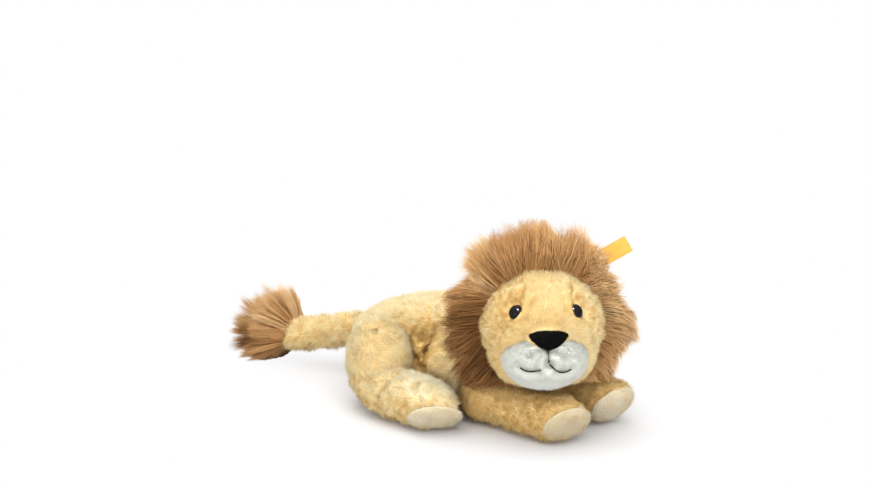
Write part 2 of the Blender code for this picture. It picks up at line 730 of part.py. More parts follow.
def make_foreleg(side, label, tools):
    """One front leg: cover, filling and sole, on the shoulder's upright axis."""
    x = side * FORELEG_SPREAD / 2
    y = PAW_REACH_Y + FORELEG_SETBACK
    carrier = axis_at(f"front_{label}_axis", (x, y, 0))
    skin = swollen(f"front_leg_{label}_cover", foreleg_section, 16, 14)
    inside = hidden(stand(f"front_{label}_inside", fattened(skin, -PLUSH), carrier))
    paw = Vector((0, -FORELEG_SETBACK, FOREPAW / 2 - FLOOR_FLAT))
    yaw = FORESOLE_YAW[0] if side < 0 else FORESOLE_YAW[1]
    way = Vector((sin(yaw) * cos(FORESOLE_PITCH), -cos(yaw) * cos(FORESOLE_PITCH),
                  -sin(FORESOLE_PITCH)))
    seat = sole_seat(paw, way, FORESOLE_AHEAD)
    size = FOREPAW + 2 * OVERRUN
    trim = trim_box(f"front_{label}_trim", seat, size, carrier, SEAM_GAP)
    cover = stand(skin.name, skin, carrier)
    cut(cover, inside, trim, tools["floor"])
    core = swollen(f"front_leg_{label}_filling", foreleg_section, 12, 14)
    filling = stand(core.name, fattened(core, -PLUSH - FILL_GAP), carrier)
    cut(filling, trim)
    sole = sole_mesh(f"front_sole_{label}", FORESOLE, FORESOLE, FORESOLE_DOME, seat)
    show(cover, CREAM, 0.95)
    show(filling, FIBRE, 1.0)
    sole_piece = show(stand(sole.name, sole, carrier), SOLE_BEIGE, 0.95)
    cut(sole_piece, tools["floor"])
    half = SHOULDER_BALL / 2 + TURN_GAP
    top = SHOULDER_BALL - FLOOR_FLAT + TURN_GAP
    points = ((0, top), (half - SHOULDER_ROUND, top), (half, top - SHOULDER_ROUND),
              (half, -OVERRUN), (0, -OVERRUN))
    socket = turned_profile(f"front_{label}_socket", points, 20)
    tools["sockets"].append(hidden(stand(socket.name, socket, carrier)))


# Rear legs

def rearfoot_section(side):
    """The rounded lower leg from heel to toe, beside the thigh."""
    radius = REARFOOT / 2
    run = (TOE_AHEAD - HEEL_AHEAD) / 2
    middle_y = -(TOE_AHEAD + HEEL_AHEAD) / 2

    def section(share):
        polar = share * pi
        along = -cos(polar)
        y = middle_y - run * along - radius * along
        ending = sqrt(max(0.0, 1 - abs(along) ** FOOT_BLUNTNESS))
        middle = Vector((side * REARFOOT_OUT, y, radius - FLOOR_FLAT))
        return middle, Vector((radius * ending, 0, 0)), Vector((0, 0, radius * ending))
    return section


def make_rearleg(side, label, tools):
    """One rear leg: thigh and foot in one cover, filling, and sole."""
    x = side * HIP_X
    carrier = axis_at(f"rear_{label}_axis", (x, PAW_REACH_Y + HIP_SETBACK, 0))
    thigh_z = THIGH_HEIGHT / 2 - FLOOR_FLAT
    radii = Vector((THIGH_WIDTH / 2, THIGH_WIDTH / 2, THIGH_HEIGHT / 2))
    foot = swollen(f"rear_{label}_foot", rearfoot_section(side), 14, 8)
    toe = Vector((side * REARFOOT_OUT, -TOE_AHEAD, REARFOOT / 2 - FLOOR_FLAT))
    way = Vector((-side * REARSOLE_FACING.x, REARSOLE_FACING.y, REARSOLE_FACING.z)).normalized()
    seat = sole_seat(toe, way, REARSOLE_AHEAD)
    trim = trim_box(f"rear_{label}_trim", seat, REARFOOT + OVERRUN, carrier, SEAM_GAP)

    def solid(name, into):
        thigh = ball(name, radii - Vector((into, into, into)), 18, 12)
        piece = stand(name, thigh, carrier, (0, 0, thigh_z))
        lower = hidden(stand(name + "_foot", fattened(foot, -into), carrier))
        return shaped(piece, lower, 'UNION')

    inside = hidden(solid(f"rear_{label}_inside", PLUSH))
    cover = solid(f"rear_leg_{label}_cover", 0)
    cut(cover, inside, trim, tools["floor"])
    filling = solid(f"rear_leg_{label}_filling", PLUSH + FILL_GAP)
    cut(filling, trim)
    sole = sole_mesh(f"rear_sole_{label}", REARSOLE_LENGTH, REARSOLE_WIDTH, REARSOLE_DOME, seat)
    sole_piece = show(stand(sole.name, sole, carrier), SOLE_BEIGE, 0.95)
    cut(sole_piece, tools["floor"])
    show(cover, CREAM, 0.95)
    show(filling, FIBRE, 1.0)
    grow = Vector((TURN_GAP, TURN_GAP, TURN_GAP))
    socket = ball(f"rear_{label}_socket", radii + grow, 20, 12)
    tools["sockets"].append(hidden(stand(socket.name, socket, carrier, (0, 0, thigh_z))))


# Tail

def tail_line(along):
    """The tail's middle line and half width, from its axis to a share of its length."""
    bend = along * (2 - along)
    half = TAIL_ROOT / 2 + (TAIL_TIP - TAIL_ROOT) / 2 * along
    height = TAIL_HEIGHT + (TAIL_TIP_HEIGHT - TAIL_HEIGHT) * bend
    return Vector((-TAIL_BEND * bend, TAIL_LENGTH * along, height)), half


def tail_section(share):
    """A round root in the rump, then an even tube with a round tip."""
    polar = share * pi
    along = -cos(polar)
    if along <= 0:
        radius = TAIL_ROOT / 2 * sin(polar)
        middle = Vector((0, TAIL_ROOT / 2 * along, TAIL_HEIGHT))
        return middle, Vector((radius, 0, 0)), Vector((0, 0, radius))
    middle, half = tail_line(along)
    radius = half * sqrt(max(0.0, 1 - along ** TAIL_BLUNTNESS))
    return middle, Vector((radius, 0, 0)), Vector((0, 0, radius))


def tassel_section(share):
    """A brush that opens from the tail and closes to a round end."""
    along = (1 - cos(share * pi)) / 2
    start = TAIL_LENGTH - TASSEL_OVERLAP
    middle = Vector((-TAIL_BEND, start + TASSEL_LENGTH * along, TAIL_TIP_HEIGHT))
    radius = TASSEL_WIDTH / 2 * eased(TASSEL_SHARES, along)
    radius *= sqrt(max(0.0, 1 - abs(2 * along - 1) ** TASSEL_BLUNTNESS))
    return middle, Vector((radius, 0, 0)), Vector((0, 0, radius))


def make_tail(tools):
    """The tail's cover and filling, and the tassel sewn round its tip."""
    carrier = axis_at("tail_axis", (0, RUMP_Y + TAIL_OUT, 0))
    skin = swollen("tail_cover", tail_section, 16, 14)
    inside = hidden(stand("tail_inside", fattened(skin, -PLUSH), carrier))
    opening = TAIL_ROOT * TAIL_MOUTH_SHARE
    seat = Matrix.Translation((0, 0, TAIL_HEIGHT)) @ facing(Vector((0, -1, 0)))
    mouth = rod("tail_mouth", opening, TAIL_ROOT / 4, TAIL_ROOT / 2 + OVERRUN, seat, carrier)
    cover = cut(stand("tail_cover", skin, carrier), inside, mouth)
    filling = stand("tail_filling", fattened(skin, -PLUSH - FILL_GAP), carrier)
    tip = hidden(stand("tail_tip", fattened(skin, SEAM_GAP), carrier))
    tassel = stand("tail_tassel", swollen("tail_tassel", tassel_section, 18, 12), carrier)
    cut(tassel, tip, tools["floor"])
    show(cover, CREAM, 0.95)
    show(filling, FIBRE, 1.0)
    show(tassel, MANE_BROWN, 0.95)
    half = TAIL_ROOT / 2 + TURN_GAP
    socket = ball("tail_socket", (half, half, half), 16, 10)
    tools["sockets"].append(hidden(stand("tail_socket", socket, carrier, (0, 0, TAIL_HEIGHT))))


def build():
    """Builds the whole lion."""
    clear_scene()
    floor_size = 4 * (BACK_LENGTH + SHOULDER_SETBACK)
    floor = slab("floor", (floor_size, floor_size, OVERRUN),
                 Matrix.Translation((0, 0, -OVERRUN / 2)))
    tools = {"floor": hidden(stand("floor", floor)), "sockets": []}
    make_head(tools)
    for side, label in ((-1, "right"), (1, "left")):
        make_foreleg(side, label, tools)
        make_rearleg(side, label, tools)
    make_tail(tools)
    make_torso(tools)


build()
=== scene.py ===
# %% [markdown]
# # A plush lion
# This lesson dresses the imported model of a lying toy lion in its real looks.
# The model arrives as a fixed frame, and every piece made here is laid on it.

# %% Load the frame
import math
import bpy
import numpy as np
from mathutils import Matrix, Vector
from mathutils.bvhtree import BVHTree


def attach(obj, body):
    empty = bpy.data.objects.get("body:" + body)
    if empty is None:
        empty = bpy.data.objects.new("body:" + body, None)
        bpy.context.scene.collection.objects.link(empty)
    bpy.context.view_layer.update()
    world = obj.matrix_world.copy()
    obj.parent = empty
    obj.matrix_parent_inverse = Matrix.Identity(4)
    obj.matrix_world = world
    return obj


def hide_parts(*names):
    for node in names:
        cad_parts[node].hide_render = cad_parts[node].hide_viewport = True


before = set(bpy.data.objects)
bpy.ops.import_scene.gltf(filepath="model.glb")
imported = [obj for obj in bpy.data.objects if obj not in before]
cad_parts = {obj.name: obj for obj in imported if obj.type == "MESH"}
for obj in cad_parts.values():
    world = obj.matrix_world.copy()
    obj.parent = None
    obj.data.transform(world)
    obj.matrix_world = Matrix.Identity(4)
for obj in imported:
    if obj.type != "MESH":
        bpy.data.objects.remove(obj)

bpy.ops.object.select_all(action='DESELECT')
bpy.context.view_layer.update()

# %% [markdown]
# ## The camera
# The camera stands 50 degrees round from the lion's front and 16 degrees up,
# far back with a long lens. The same numbers also turn a pixel of the picture
# into a ray, which later says where a fold or a stitch lies on the fabric.

# %% Camera
AIM = Vector((-0.063, -0.0652, 0.145))
CAMERA_AROUND, CAMERA_UP = math.radians(-50), math.radians(16)
CAMERA_FAR = 1.81
LENS, SENSOR = 100, 36
PICTURE_WIDTH, PICTURE_HEIGHT = 870, 489

back = Vector((math.sin(CAMERA_AROUND) * math.cos(CAMERA_UP),
               -math.cos(CAMERA_AROUND) * math.cos(CAMERA_UP), math.sin(CAMERA_UP)))
eye_point = AIM + back * CAMERA_FAR
bpy.ops.object.camera_add(location=eye_point,
                          rotation=(-back).to_track_quat('-Z', 'Y').to_euler())
camera = bpy.context.object
camera.data.lens, camera.data.sensor_width = LENS, SENSOR
camera.data.clip_end = 20
bpy.context.scene.camera = camera
right = Vector((math.cos(CAMERA_AROUND), math.sin(CAMERA_AROUND), 0))
upward = back.cross(right)
print("the camera stands at", [round(c, 3) for c in eye_point])

# %% Small helpers
def only(piece):
    """Selects one object and nothing else."""
    bpy.ops.object.select_all(action='DESELECT')
    piece.select_set(True)
    bpy.context.view_layer.objects.active = piece


def settle(piece):
    """Puts an object's place, turn and size into its mesh."""
    only(piece)
    bpy.ops.object.transform_apply(location=True, rotation=True, scale=True)
    return piece


def added(name, data):
    """Puts a mesh or a curve into the scene as an object."""
    piece = bpy.data.objects.new(name, data)
    bpy.context.scene.collection.objects.link(piece)
    return piece


def ball(name, radii, place=(0, 0, 0), segments=96, rings=64):
    """A round form with its radii, at a place."""
    bpy.ops.mesh.primitive_uv_sphere_add(segments=segments, ring_count=rings, radius=1)
    piece = bpy.context.object
    piece.name = piece.data.name = name
    piece.scale, piece.location = radii, place
    return settle(piece)


def sliced(piece, place, way):
    """Cuts off what lies behind a plane, and closes the cut."""
    only(piece)
    bpy.ops.object.mode_set(mode='EDIT')
    bpy.ops.mesh.select_all(action='SELECT')
    bpy.ops.mesh.bisect(plane_co=place, plane_no=way, use_fill=True, clear_inner=True)
    bpy.ops.mesh.select_mode(type='FACE')
    bpy.ops.object.mode_set(mode='OBJECT')


def shaped(piece, kind, **settings):
    """Adds a modifier and applies it at once."""
    only(piece)
    modifier = piece.modifiers.new(kind.title(), kind)
    for name, value in settings.items():
        setattr(modifier, name, value)
    bpy.ops.object.modifier_apply(modifier=modifier.name)
    return piece


def points_of(piece):
    points = np.empty(len(piece.data.vertices) * 3)
    piece.data.vertices.foreach_get("co", points)
    return points.reshape(-1, 3)


def normals_of(piece):
    normals = np.empty(len(piece.data.vertices) * 3, np.float32)
    piece.data.vertex_normals.foreach_get("vector", normals)
    return normals.reshape(-1, 3).astype(float)


def put_points(piece, points):
    piece.data.vertices.foreach_set("co", np.ascontiguousarray(points).ravel())
    piece.data.update()


def unit(rows):
    return rows / np.maximum(np.linalg.norm(rows, axis=-1, keepdims=True), 1e-9)


def mottle(points, size, seed, waves=18):
    """Smooth seeded unevenness from about -1 to 1, in patches of about a size."""
    dice = np.random.default_rng(seed)
    ways = unit(dice.normal(size=(waves, 3))) * dice.uniform(0.6, 1.4, (waves, 1))
    turns = points @ (ways * math.pi / size).T + dice.uniform(0, 2 * math.pi, waves)
    return np.sin(turns).sum(1) * math.sqrt(2 / waves) / 1.6


def dressed(piece, body, slot, material, *nodes):
    """Gives a piece its body and its finish, and hides the solids that it stands for."""
    piece.data.materials.clear()
    piece.data.materials.append(material)
    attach(piece, body)
    if nodes:
        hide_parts(*nodes)
    return piece

# %% [markdown]
# ## The head's own frame
# The face looks 47 degrees to the lion's right. Sizes on the head are easier to
# give in a frame that turns with it: X to the face's left, -Y ahead, Z up.

# %% The head's frame
NECK = Vector((0, -0.0517, 0))
HEAD_REACH, HEAD_LEAN, HEAD_HIGH = 0.0795, math.radians(11), 0.0852
HEAD_RADII = np.array((0.048, 0.046, 0.043))
head_middle = NECK + Vector((-math.sin(HEAD_LEAN), -math.cos(HEAD_LEAN), 0)) * HEAD_REACH
head_middle.z = HEAD_HIGH
head_place = Matrix.Translation(head_middle) @ Matrix.Rotation(math.radians(-47), 4, 'Z')
to_world = np.array(head_place.to_3x3())
head_at = np.array(head_place.translation)
print("the head's middle is at", head_at.round(4))


def on_head(rows):
    """From the head's frame to the world."""
    return np.asarray(rows) @ to_world.T + head_at


def in_head(rows):
    """From the world to the head's frame."""
    return (np.asarray(rows) - head_at) @ to_world

# %% [markdown]
# ## Finishes
# Plush is fabric with a dense pile, and its tufts differ a little in tone. The
# feet of the fibres lie in the pile's own shade, so each fibre gets painted shade
# at its foot that fades towards its tip. So every fibre carries two numbers in a
# UV map: across is its tone, and up is the way from foot to tip. One colour ramp
# reads the tone, another paints the shade at the foot.

# %% Pile finishes
def set_inputs(node, values):
    """Gives plain values to a node's sockets, by name or place."""
    for socket, value in values.items():
        node.inputs[socket].default_value = value


def new_finish(name, values):
    """A material, its tree, and its shader with plain values."""
    material = bpy.data.materials.new(name)
    material.use_nodes = True
    shader = material.node_tree.nodes["Principled BSDF"]
    set_inputs(shader, values)
    return material, material.node_tree, shader


def add_node(tree, kind, values=None, **settings):
    """A shader node with its settings and plain values."""
    made = tree.nodes.new("ShaderNode" + kind)
    for name, value in settings.items():
        setattr(made, name, value)
    set_inputs(made, values or {})
    return made


def wire(tree, *wires):
    """Links sockets, each given as (node, output, node, input)."""
    for start, output, end, socket in wires:
        tree.links.new(start.outputs[output], end.inputs[socket])


def ramp_node(tree, stops):
    """A colour ramp from its (place, colour) stops."""
    made = add_node(tree, "ValToRGB")
    elements = made.color_ramp.elements
    for element, (place, colour) in zip(elements, (stops[0], stops[-1])):
        element.position, element.color = place, (*colour, 1)
    for place, colour in stops[1:-1]:
        elements.new(place).color = (*colour, 1)
    return made


def on_object(tree, kind, values=None, **settings):
    """A procedural node laid on the object's own coordinates."""
    made = add_node(tree, kind, values, **settings)
    wire(tree, (add_node(tree, "TexCoord"), "Object", made, "Vector"))
    return made


def toned(tree, source, output, stops, shader, socket="Base Color"):
    """Gives a shader's socket its value from an output, through a ramp."""
    ramp = ramp_node(tree, stops)
    wire(tree, (source, output, ramp, 0), (ramp, 0, shader, socket))


def relieved(tree, source, output, shader, distance, strength=1.0):
    """Gives a shader fine relief from an output."""
    relief = add_node(tree, "Bump", {"Strength": strength, "Distance": distance})
    wire(tree, (source, output, relief, "Height"), (relief, 0, shader, "Normal"))


def pile_finish(name, foot, *tones, roughness=0.9, gloss=0.0):
    """A finish for fibres, from the UV map that each fibre carries, with painted shade at the
    fibres' feet.
    """
    material, tree, shader = new_finish(name, {"Roughness": roughness,
                                               "Specular IOR Level": gloss})
    where = add_node(tree, "UVMap", uv_map="OFBake")
    split = add_node(tree, "SeparateXYZ")
    tone = ramp_node(tree, tones)
    # painted shade: the foot colour darkens each fibre's foot, fading out towards its tip
    middle = tuple(0.35 * part + 0.65 for part in foot)
    shade = ramp_node(tree, ((0, foot), (0.5, middle), (1, (1, 1, 1))))
    product = add_node(tree, "Mix", {"Factor": 1}, data_type='RGBA', blend_type='MULTIPLY')
    wire(tree, (where, "UV", split, 0), (split, "X", tone, 0), (split, "Y", shade, 0),
         (tone, 0, product, 6), (shade, 0, product, 7), (product, 2, shader, "Base Color"))
    return material


# the first colour of each pile finish is the painted shade at the fibres' feet
cream_pile = pile_finish(
    "cream_pile", (0.95, 0.82, 0.56), (0, (0.26, 0.13, 0.035)), (0.12, (0.62, 0.37, 0.11)),
    (0.3, (0.85, 0.60, 0.25)), (0.5, (0.96, 0.78, 0.43)), (0.7, (1.0, 0.88, 0.57)),
    (1, (1.0, 0.95, 0.74)))
brown_pile = pile_finish(
    "brown_pile", (0.50, 0.42, 0.34), (0, (0.13, 0.060, 0.020)), (0.3, (0.38, 0.185, 0.065)),
    (0.55, (0.64, 0.345, 0.135)), (0.78, (0.84, 0.52, 0.24)), (1, (0.98, 0.74, 0.42)),
    roughness=0.6, gloss=0.1)
white_pile = pile_finish(
    "white_pile", (0.86, 0.86, 0.84), (0, (0.50, 0.51, 0.46)), (0.5, (0.76, 0.77, 0.69)),
    (1, (0.97, 0.98, 0.93)))
beige_pile = pile_finish(
    "beige_pile", (0.9, 0.86, 0.78), (0, (0.70, 0.58, 0.38)), (0.5, (0.87, 0.76, 0.55)),
    (1, (0.97, 0.89, 0.71)))
black_pile = pile_finish(
    "black_pile", (0.7, 0.7, 0.7), (0, (0.004, 0.004, 0.004)), (1, (0.011, 0.010, 0.010)))
print("pile finishes: cream, brown, white, beige and black")

# %% [markdown]
# Under the pile lies the knitted backing. It shows only as the dark ground
# between tufts, so its finish is the pile's colour made a little darker, as painted
# shade of the tufts over it, with a fine knit in its bump and slow changes of tone.

# %% Fabric finishes
KNIT = 0.0011


def cloth_finish(name, dark, light):
    """Knitted backing: two tones in soft patches, and a fine grain."""
    material, tree, shader = new_finish(name, {"Roughness": 0.95, "Specular IOR Level": 0.0})
    patches = on_object(tree, "TexNoise", {"Scale": 90, "Detail": 3})
    grain = on_object(tree, "TexNoise", {"Scale": 1 / KNIT, "Detail": 2})
    toned(tree, patches, 0, ((0.35, dark), (0.65, light)), shader)
    relieved(tree, grain, 0, shader, 0.0006, 0.4)
    return material


# each backing's colours hold painted shade: darker than its pile, for the tufts' shade
cream_cloth = cloth_finish("cream_cloth", (0.74, 0.52, 0.24), (0.88, 0.67, 0.35))
brown_cloth = cloth_finish("brown_cloth", (0.14, 0.065, 0.023), (0.25, 0.12, 0.045))
white_cloth = cloth_finish("white_cloth", (0.76, 0.77, 0.70), (0.86, 0.87, 0.80))
beige_cloth = cloth_finish("beige_cloth", (0.68, 0.56, 0.36), (0.80, 0.68, 0.46))
black_cloth = cloth_finish("black_cloth", (0.005, 0.005, 0.005), (0.009, 0.009, 0.009))
print("fabric finishes: cream, brown, white, beige and black")

# %% [markdown]
# ## Stuffed forms
# A stuffed part has no flat or sharp places. Each one starts as a copy of its
# filling in the model, whose place and size are right. A voxel remesh melts its
# facets, smoothing rounds it, and one subdivision gives room for folds.

# %% Stuffed forms
def stuffed(node, name, voxel=0.002, grow=0.0006, smooth=8, levels=1):
    """A smooth form over a filling, at its place."""
    piece = added(name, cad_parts[node].data.copy())
    only(piece)
    bpy.ops.object.mode_set(mode='EDIT')
    bpy.ops.mesh.select_all(action='SELECT')
    bpy.ops.mesh.remove_doubles(threshold=1e-6)
    bpy.ops.mesh.normals_make_consistent(inside=False)
    bpy.ops.object.mode_set(mode='OBJECT')
    shaped(piece, 'REMESH', mode='VOXEL', voxel_size=voxel)
    shaped(piece, 'SMOOTH', factor=0.5, iterations=smooth)
    if levels:
        shaped(piece, 'SUBSURF', levels=levels, render_levels=levels)
    put_points(piece, points_of(piece) + normals_of(piece) * grow)
    bpy.ops.object.shade_smooth()
    return piece


def seen_on(piece, spots):
    """Where pixels of the picture lie on a piece, in the world."""
    tree = BVHTree.FromObject(piece, bpy.context.evaluated_depsgraph_get())
    found = []
    for across, down in spots:
        way = (right * ((across - PICTURE_WIDTH / 2) * SENSOR / LENS / PICTURE_WIDTH)
               + upward * ((PICTURE_HEIGHT / 2 - down) * SENSOR / LENS / PICTURE_WIDTH) - back)
        place = tree.ray_cast(eye_point, way.normalized())[0]
        if place is not None:
            found.append(place)
    return np.array(found)


def away_from(points, path):
    """The distance from each point to a path."""
    if len(path) == 1:
        return np.linalg.norm(points - path[0], axis=1)
    nearest = np.full(len(points), 1.0)
    for start, end in zip(path[:-1], path[1:]):
        along = end - start
        share = np.clip((points - start) @ along / max(along @ along, 1e-12), 0, 1)
        nearest = np.minimum(nearest, np.linalg.norm(points - start - share[:, None] * along,
                                                     axis=1))
    return nearest


def drawn_in(piece, path, width, depth, plump=0.35):
    """Draws the fabric in along a path, and lets it swell beside it."""
    if not len(path):
        print("a fold of", piece.name, "found no place")
        return piece
    points, normals = points_of(piece), normals_of(piece)
    far = away_from(points, path) / width
    move = depth * (np.exp(-far ** 2) - plump * np.exp(-((far - 2.4) / 1.1) ** 2))
    put_points(piece, points - normals * move[:, None])
    return piece


def crumpled(piece, seed, slow=0.0010, quick=0.00045):
    """Slow swells of the filling, and the relief of the tufts."""
    points, normals = points_of(piece), normals_of(piece)
    move = slow * mottle(points, 0.024, seed) + quick * mottle(points, 0.0065, seed + 1)
    put_points(piece, points + normals * move[:, None])
    return piece

# %% [markdown]
# ## Pile
# Nobody models fibres one by one. One fibre is a thin three-sided spike, and
# arrays of numbers lay tens of thousands of copies of it on a form: first the
# roots, spread evenly over its area, then the way each one leans. Neighbours
# lean alike, so the pile parts into tufts as real plush does.

# %% Fibres from arrays
def wind_at(roots, size, seed):
    """A seeded lean that neighbours share, in patches of about a size."""
    return np.stack([mottle(roots, size, seed + step) for step in (2, 3, 4)], 1)


def tapered(dice, count, thin, thick, end=0.35):
    """Widths of long fibres, which thin out towards their tips."""
    return np.linspace(1, end, 3)[None] * dice.uniform(thin, thick, (count, 1))


def fibres(name, paths, widths, tones, seed, out=None):
    """Closed three-sided fibres along paths of (count, places, 3).
    The last place is the tip. Where out is given, each fibre is shaded mostly
    as the form under it."""
    count, places = paths.shape[:2]
    rings = places - 1
    ways = unit(paths[:, 1:] - paths[:, :-1])
    aside = np.random.default_rng(seed).normal(size=(count, 1, 3))
    sides = unit(np.cross(ways, aside))
    others = np.cross(ways, sides)
    turns = np.arange(3) * 2 * math.pi / 3
    around = (np.cos(turns)[None, None, :, None] * sides[:, :, None]
              + np.sin(turns)[None, None, :, None] * others[:, :, None])
    ring = paths[:, :-1, None] + around * widths[:, :, None, None] / 2
    points = np.concatenate([ring.reshape(count, rings * 3, 3), paths[:, -1:]], axis=1)
    faces = [(0, 2, 1)]
    for level in range(rings - 1):
        for side in range(3):
            a, b = level * 3 + side, level * 3 + (side + 1) % 3
            faces += [(a, b, b + 3), (a, b + 3, a + 3)]
    last = (rings - 1) * 3
    faces += [(last + side, last + (side + 1) % 3, rings * 3) for side in range(3)]
    per = rings * 3 + 1
    corners = (np.arange(count)[:, None, None] * per + np.array(faces)[None]).reshape(-1, 3)
    along = np.append(np.repeat(np.arange(rings) / rings, 3), 1.0)
    uvs = np.stack([np.repeat(np.clip(tones, 0.01, 0.99), per), np.tile(along, count)], 1)
    mesh = bpy.data.meshes.new(name)
    mesh.vertices.add(count * per)
    mesh.vertices.foreach_set("co", points.ravel())
    mesh.loops.add(corners.size)
    mesh.loops.foreach_set("vertex_index", corners.ravel().astype(np.int32))
    mesh.polygons.add(len(corners))
    mesh.polygons.foreach_set("loop_start", np.arange(0, corners.size, 3, dtype=np.int32))
    mesh.polygons.foreach_set("use_smooth", np.ones(len(corners), bool))
    mesh.update(calc_edges=True)
    layer = mesh.uv_layers.new(name="OFBake")
    layer.data.foreach_set("uv", uvs[corners.ravel()].ravel())
    if out is not None:
        soft = np.concatenate([out[:, None] + 0.45 * around.reshape(count, rings * 3, 3),
                               out[:, None]], axis=1)
        mesh.normals_split_custom_set_from_vertices(unit(soft).reshape(-1, 3))
    print(name, "has", count, "fibres and", len(corners), "triangles")
    return added(name, mesh)


def roots_on(piece, per_mm2, seed, keep=None, sort=False):
    """Seeded places spread evenly over a form, with the ways out of it.
    A sphere's faces come in another order each time, so they are sorted first."""
    mesh = piece.data
    mesh.calc_loop_triangles()
    corners = np.empty(len(mesh.loop_triangles) * 3, np.int32)
    mesh.loop_triangles.foreach_get("vertices", corners)
    corners = corners.reshape(-1, 3)
    if sort:
        corners = np.sort(corners, axis=1)
        corners = corners[np.lexsort(corners.T)]
    points, normals = points_of(piece), normals_of(piece)
    a, b, c = (points[corners[:, side]] for side in range(3))
    area = np.linalg.norm(np.cross(b - a, c - a), axis=1) / 2
    dice = np.random.default_rng(seed)
    picks = dice.choice(len(area), int(area.sum() * 1e6 * per_mm2), p=area / area.sum())
    u, v = dice.uniform(size=(2, len(picks)))
    over = u + v > 1
    u[over], v[over] = 1 - u[over], 1 - v[over]
    shares = np.stack([1 - u - v, u, v], 1)[:, :, None]
    roots = (points[corners[picks]] * shares).sum(1)
    out = unit((normals[corners[picks]] * shares).sum(1))
    if keep is not None:
        kept = keep(roots, out)
        roots, out = roots[kept], out[kept]
    return roots, out


FLOOR_GAP = 0.0003


def pile(name, form, seed, length, width, per_mm2, comb, tone,
         lean=0.5, sway=0.65, stray=0.3, tuft=0.0055, grain=0.07, keep=None, curl=None,
         sort=False):
    """Short pile on a form, combed one way and parted into tufts.
    It is smooth in some places and curly in others."""
    roots, out = roots_on(form, per_mm2, seed, keep, sort)
    dice = np.random.default_rng(seed + 1)
    if curl is None:
        curly = np.clip(0.35 + 0.45 * mottle(roots, 0.025, seed + 9), 0, 1)
    else:
        curly = curl(roots)
    wind = wind_at(roots, tuft, seed) * (0.4 + curly)[:, None]
    way = comb(roots) if callable(comb) else np.tile(np.array(comb, float), (len(roots), 1))
    way = way - out * (way * out).sum(1, keepdims=True)
    way = unit(out + lean * way + sway * wind + stray * dice.normal(size=out.shape))
    way = unit(way + out * np.maximum(0, 0.45 - (way * out).sum(1, keepdims=True)))
    reach = (length(roots) if callable(length) else length) * (
        1 + 0.2 * mottle(roots, tuft, seed + 5) + dice.uniform(-0.25, 0.25, len(roots)))
    paths = np.stack([roots - way * 0.0008, roots + way * reach[:, None]], 1)
    paths[:, :, 2] = np.maximum(paths[:, :, 2], FLOOR_GAP)
    widths = np.full((len(roots), 1), width) * dice.uniform(0.8, 1.2, (len(roots), 1))
    base = tone(roots) if callable(tone) else np.full(len(roots), tone)
    shade = base + 0.03 * mottle(roots, 0.011, seed + 6)
    shade = shade + (0.03 + 0.17 * curly) * mottle(roots, 0.0028, seed + 7)
    shade = shade + grain * dice.normal(size=len(roots))
    shade = np.maximum(shade, np.minimum(base, 0.17))
    return fibres(name, paths, widths, shade, seed + 8, unit(out + 0.35 * way))


def off_floor(roots, out):
    """Nothing grows where the toy lies on its support."""
    return ~((roots[:, 2] < 0.0045) & (out[:, 2] < -0.75))


def fold_shade_tone(base, folds):
    """A tone for pile with painted shade in folds, each given as a path, a width and how much it
    darkens.
    """
    def tone(roots):
        shade = np.full(len(roots), base)
        for path, width, shade_drop in folds:
            if len(path):
                # painted shade, darkest along the fold's path
                shade -= shade_drop * np.exp(-(away_from(roots, path) / width) ** 2)
        return shade
    return tone

# %% [markdown]
# ## The torso
# The body is one stuffed form that rests on its belly. Its filling makes slow
# swells, and a few ridges run from the belly up towards the thigh. The pile is
# combed back along the body and down its sides, and it gets painted shade in
# the hollow before the thigh and along the ridges.

# %% Torso
FLUFF, HEAD_CLEAR = 0.0046, 0.056
torso = stuffed("torso_filling", "torso_skin", smooth=16)
crumpled(torso, 11, slow=0.0006, quick=0.0002)
torso_folds = []
# each fold: its spots, width, depth, swell beside it, and the painted shade in its pile
for spots, width, depth, plump, shade_drop in (
        (((413, 338), (430, 335), (421, 352)), 0.0080, 0.0090, 0.1, 0.38),
        (((403, 336), (410, 346), (417, 358), (423, 371)), 0.0024, 0.0040, 0.2, 0.45),
        (((437, 327), (430.5, 343), (426, 352), (426.5, 371)), 0.0024, 0.0044, 0.3, 0.50)):
    path = seen_on(torso, spots)
    drawn_in(torso, path, width, depth, plump)
    torso_folds.append((path, width * 1.1, shade_drop))
dressed(torso, "torso", "cream_plush", cream_cloth, "torso_cover", "torso_filling")


def torso_kept(roots, out):
    """Bare under the head, where the neck is sewn on."""
    return off_floor(roots, out) & (np.linalg.norm(roots - head_at, axis=1) > HEAD_CLEAR)


def torso_length(roots):
    """Shorter in the hollow, so that it stays open."""
    return FLUFF * (1 - 0.3 * np.exp(-(away_from(roots, torso_folds[0][0]) / 0.010) ** 2))


def torso_curl(roots):
    """Smooth on the back, curly round the hollow."""
    near = np.exp(-(away_from(roots, torso_folds[0][0]) / 0.030) ** 2)
    return np.clip(0.10 + 0.9 * near + 0.2 * mottle(roots, 0.02, 19), 0.05, 1)


# painted shade spread wide over the hollow before the thigh
torso_folds.append((torso_folds[0][0], 0.022, 0.25))
torso_pile = pile("torso_pile", torso, 101, torso_length, 0.0009, 1.36, (0, 1.0, -0.45),
                  fold_shade_tone(0.62, torso_folds), keep=torso_kept, curl=torso_curl)
dressed(torso_pile, "torso", "cream_plush", cream_pile)

# %% [markdown]
# ## The legs
# Each rear leg is a thigh and a foot in one skin. A stitch draws the thigh in
# near its middle, and a fold runs from it down to the foot, which has its own
# crease behind it. The left leg is the right one mirrored, so its folds are too.

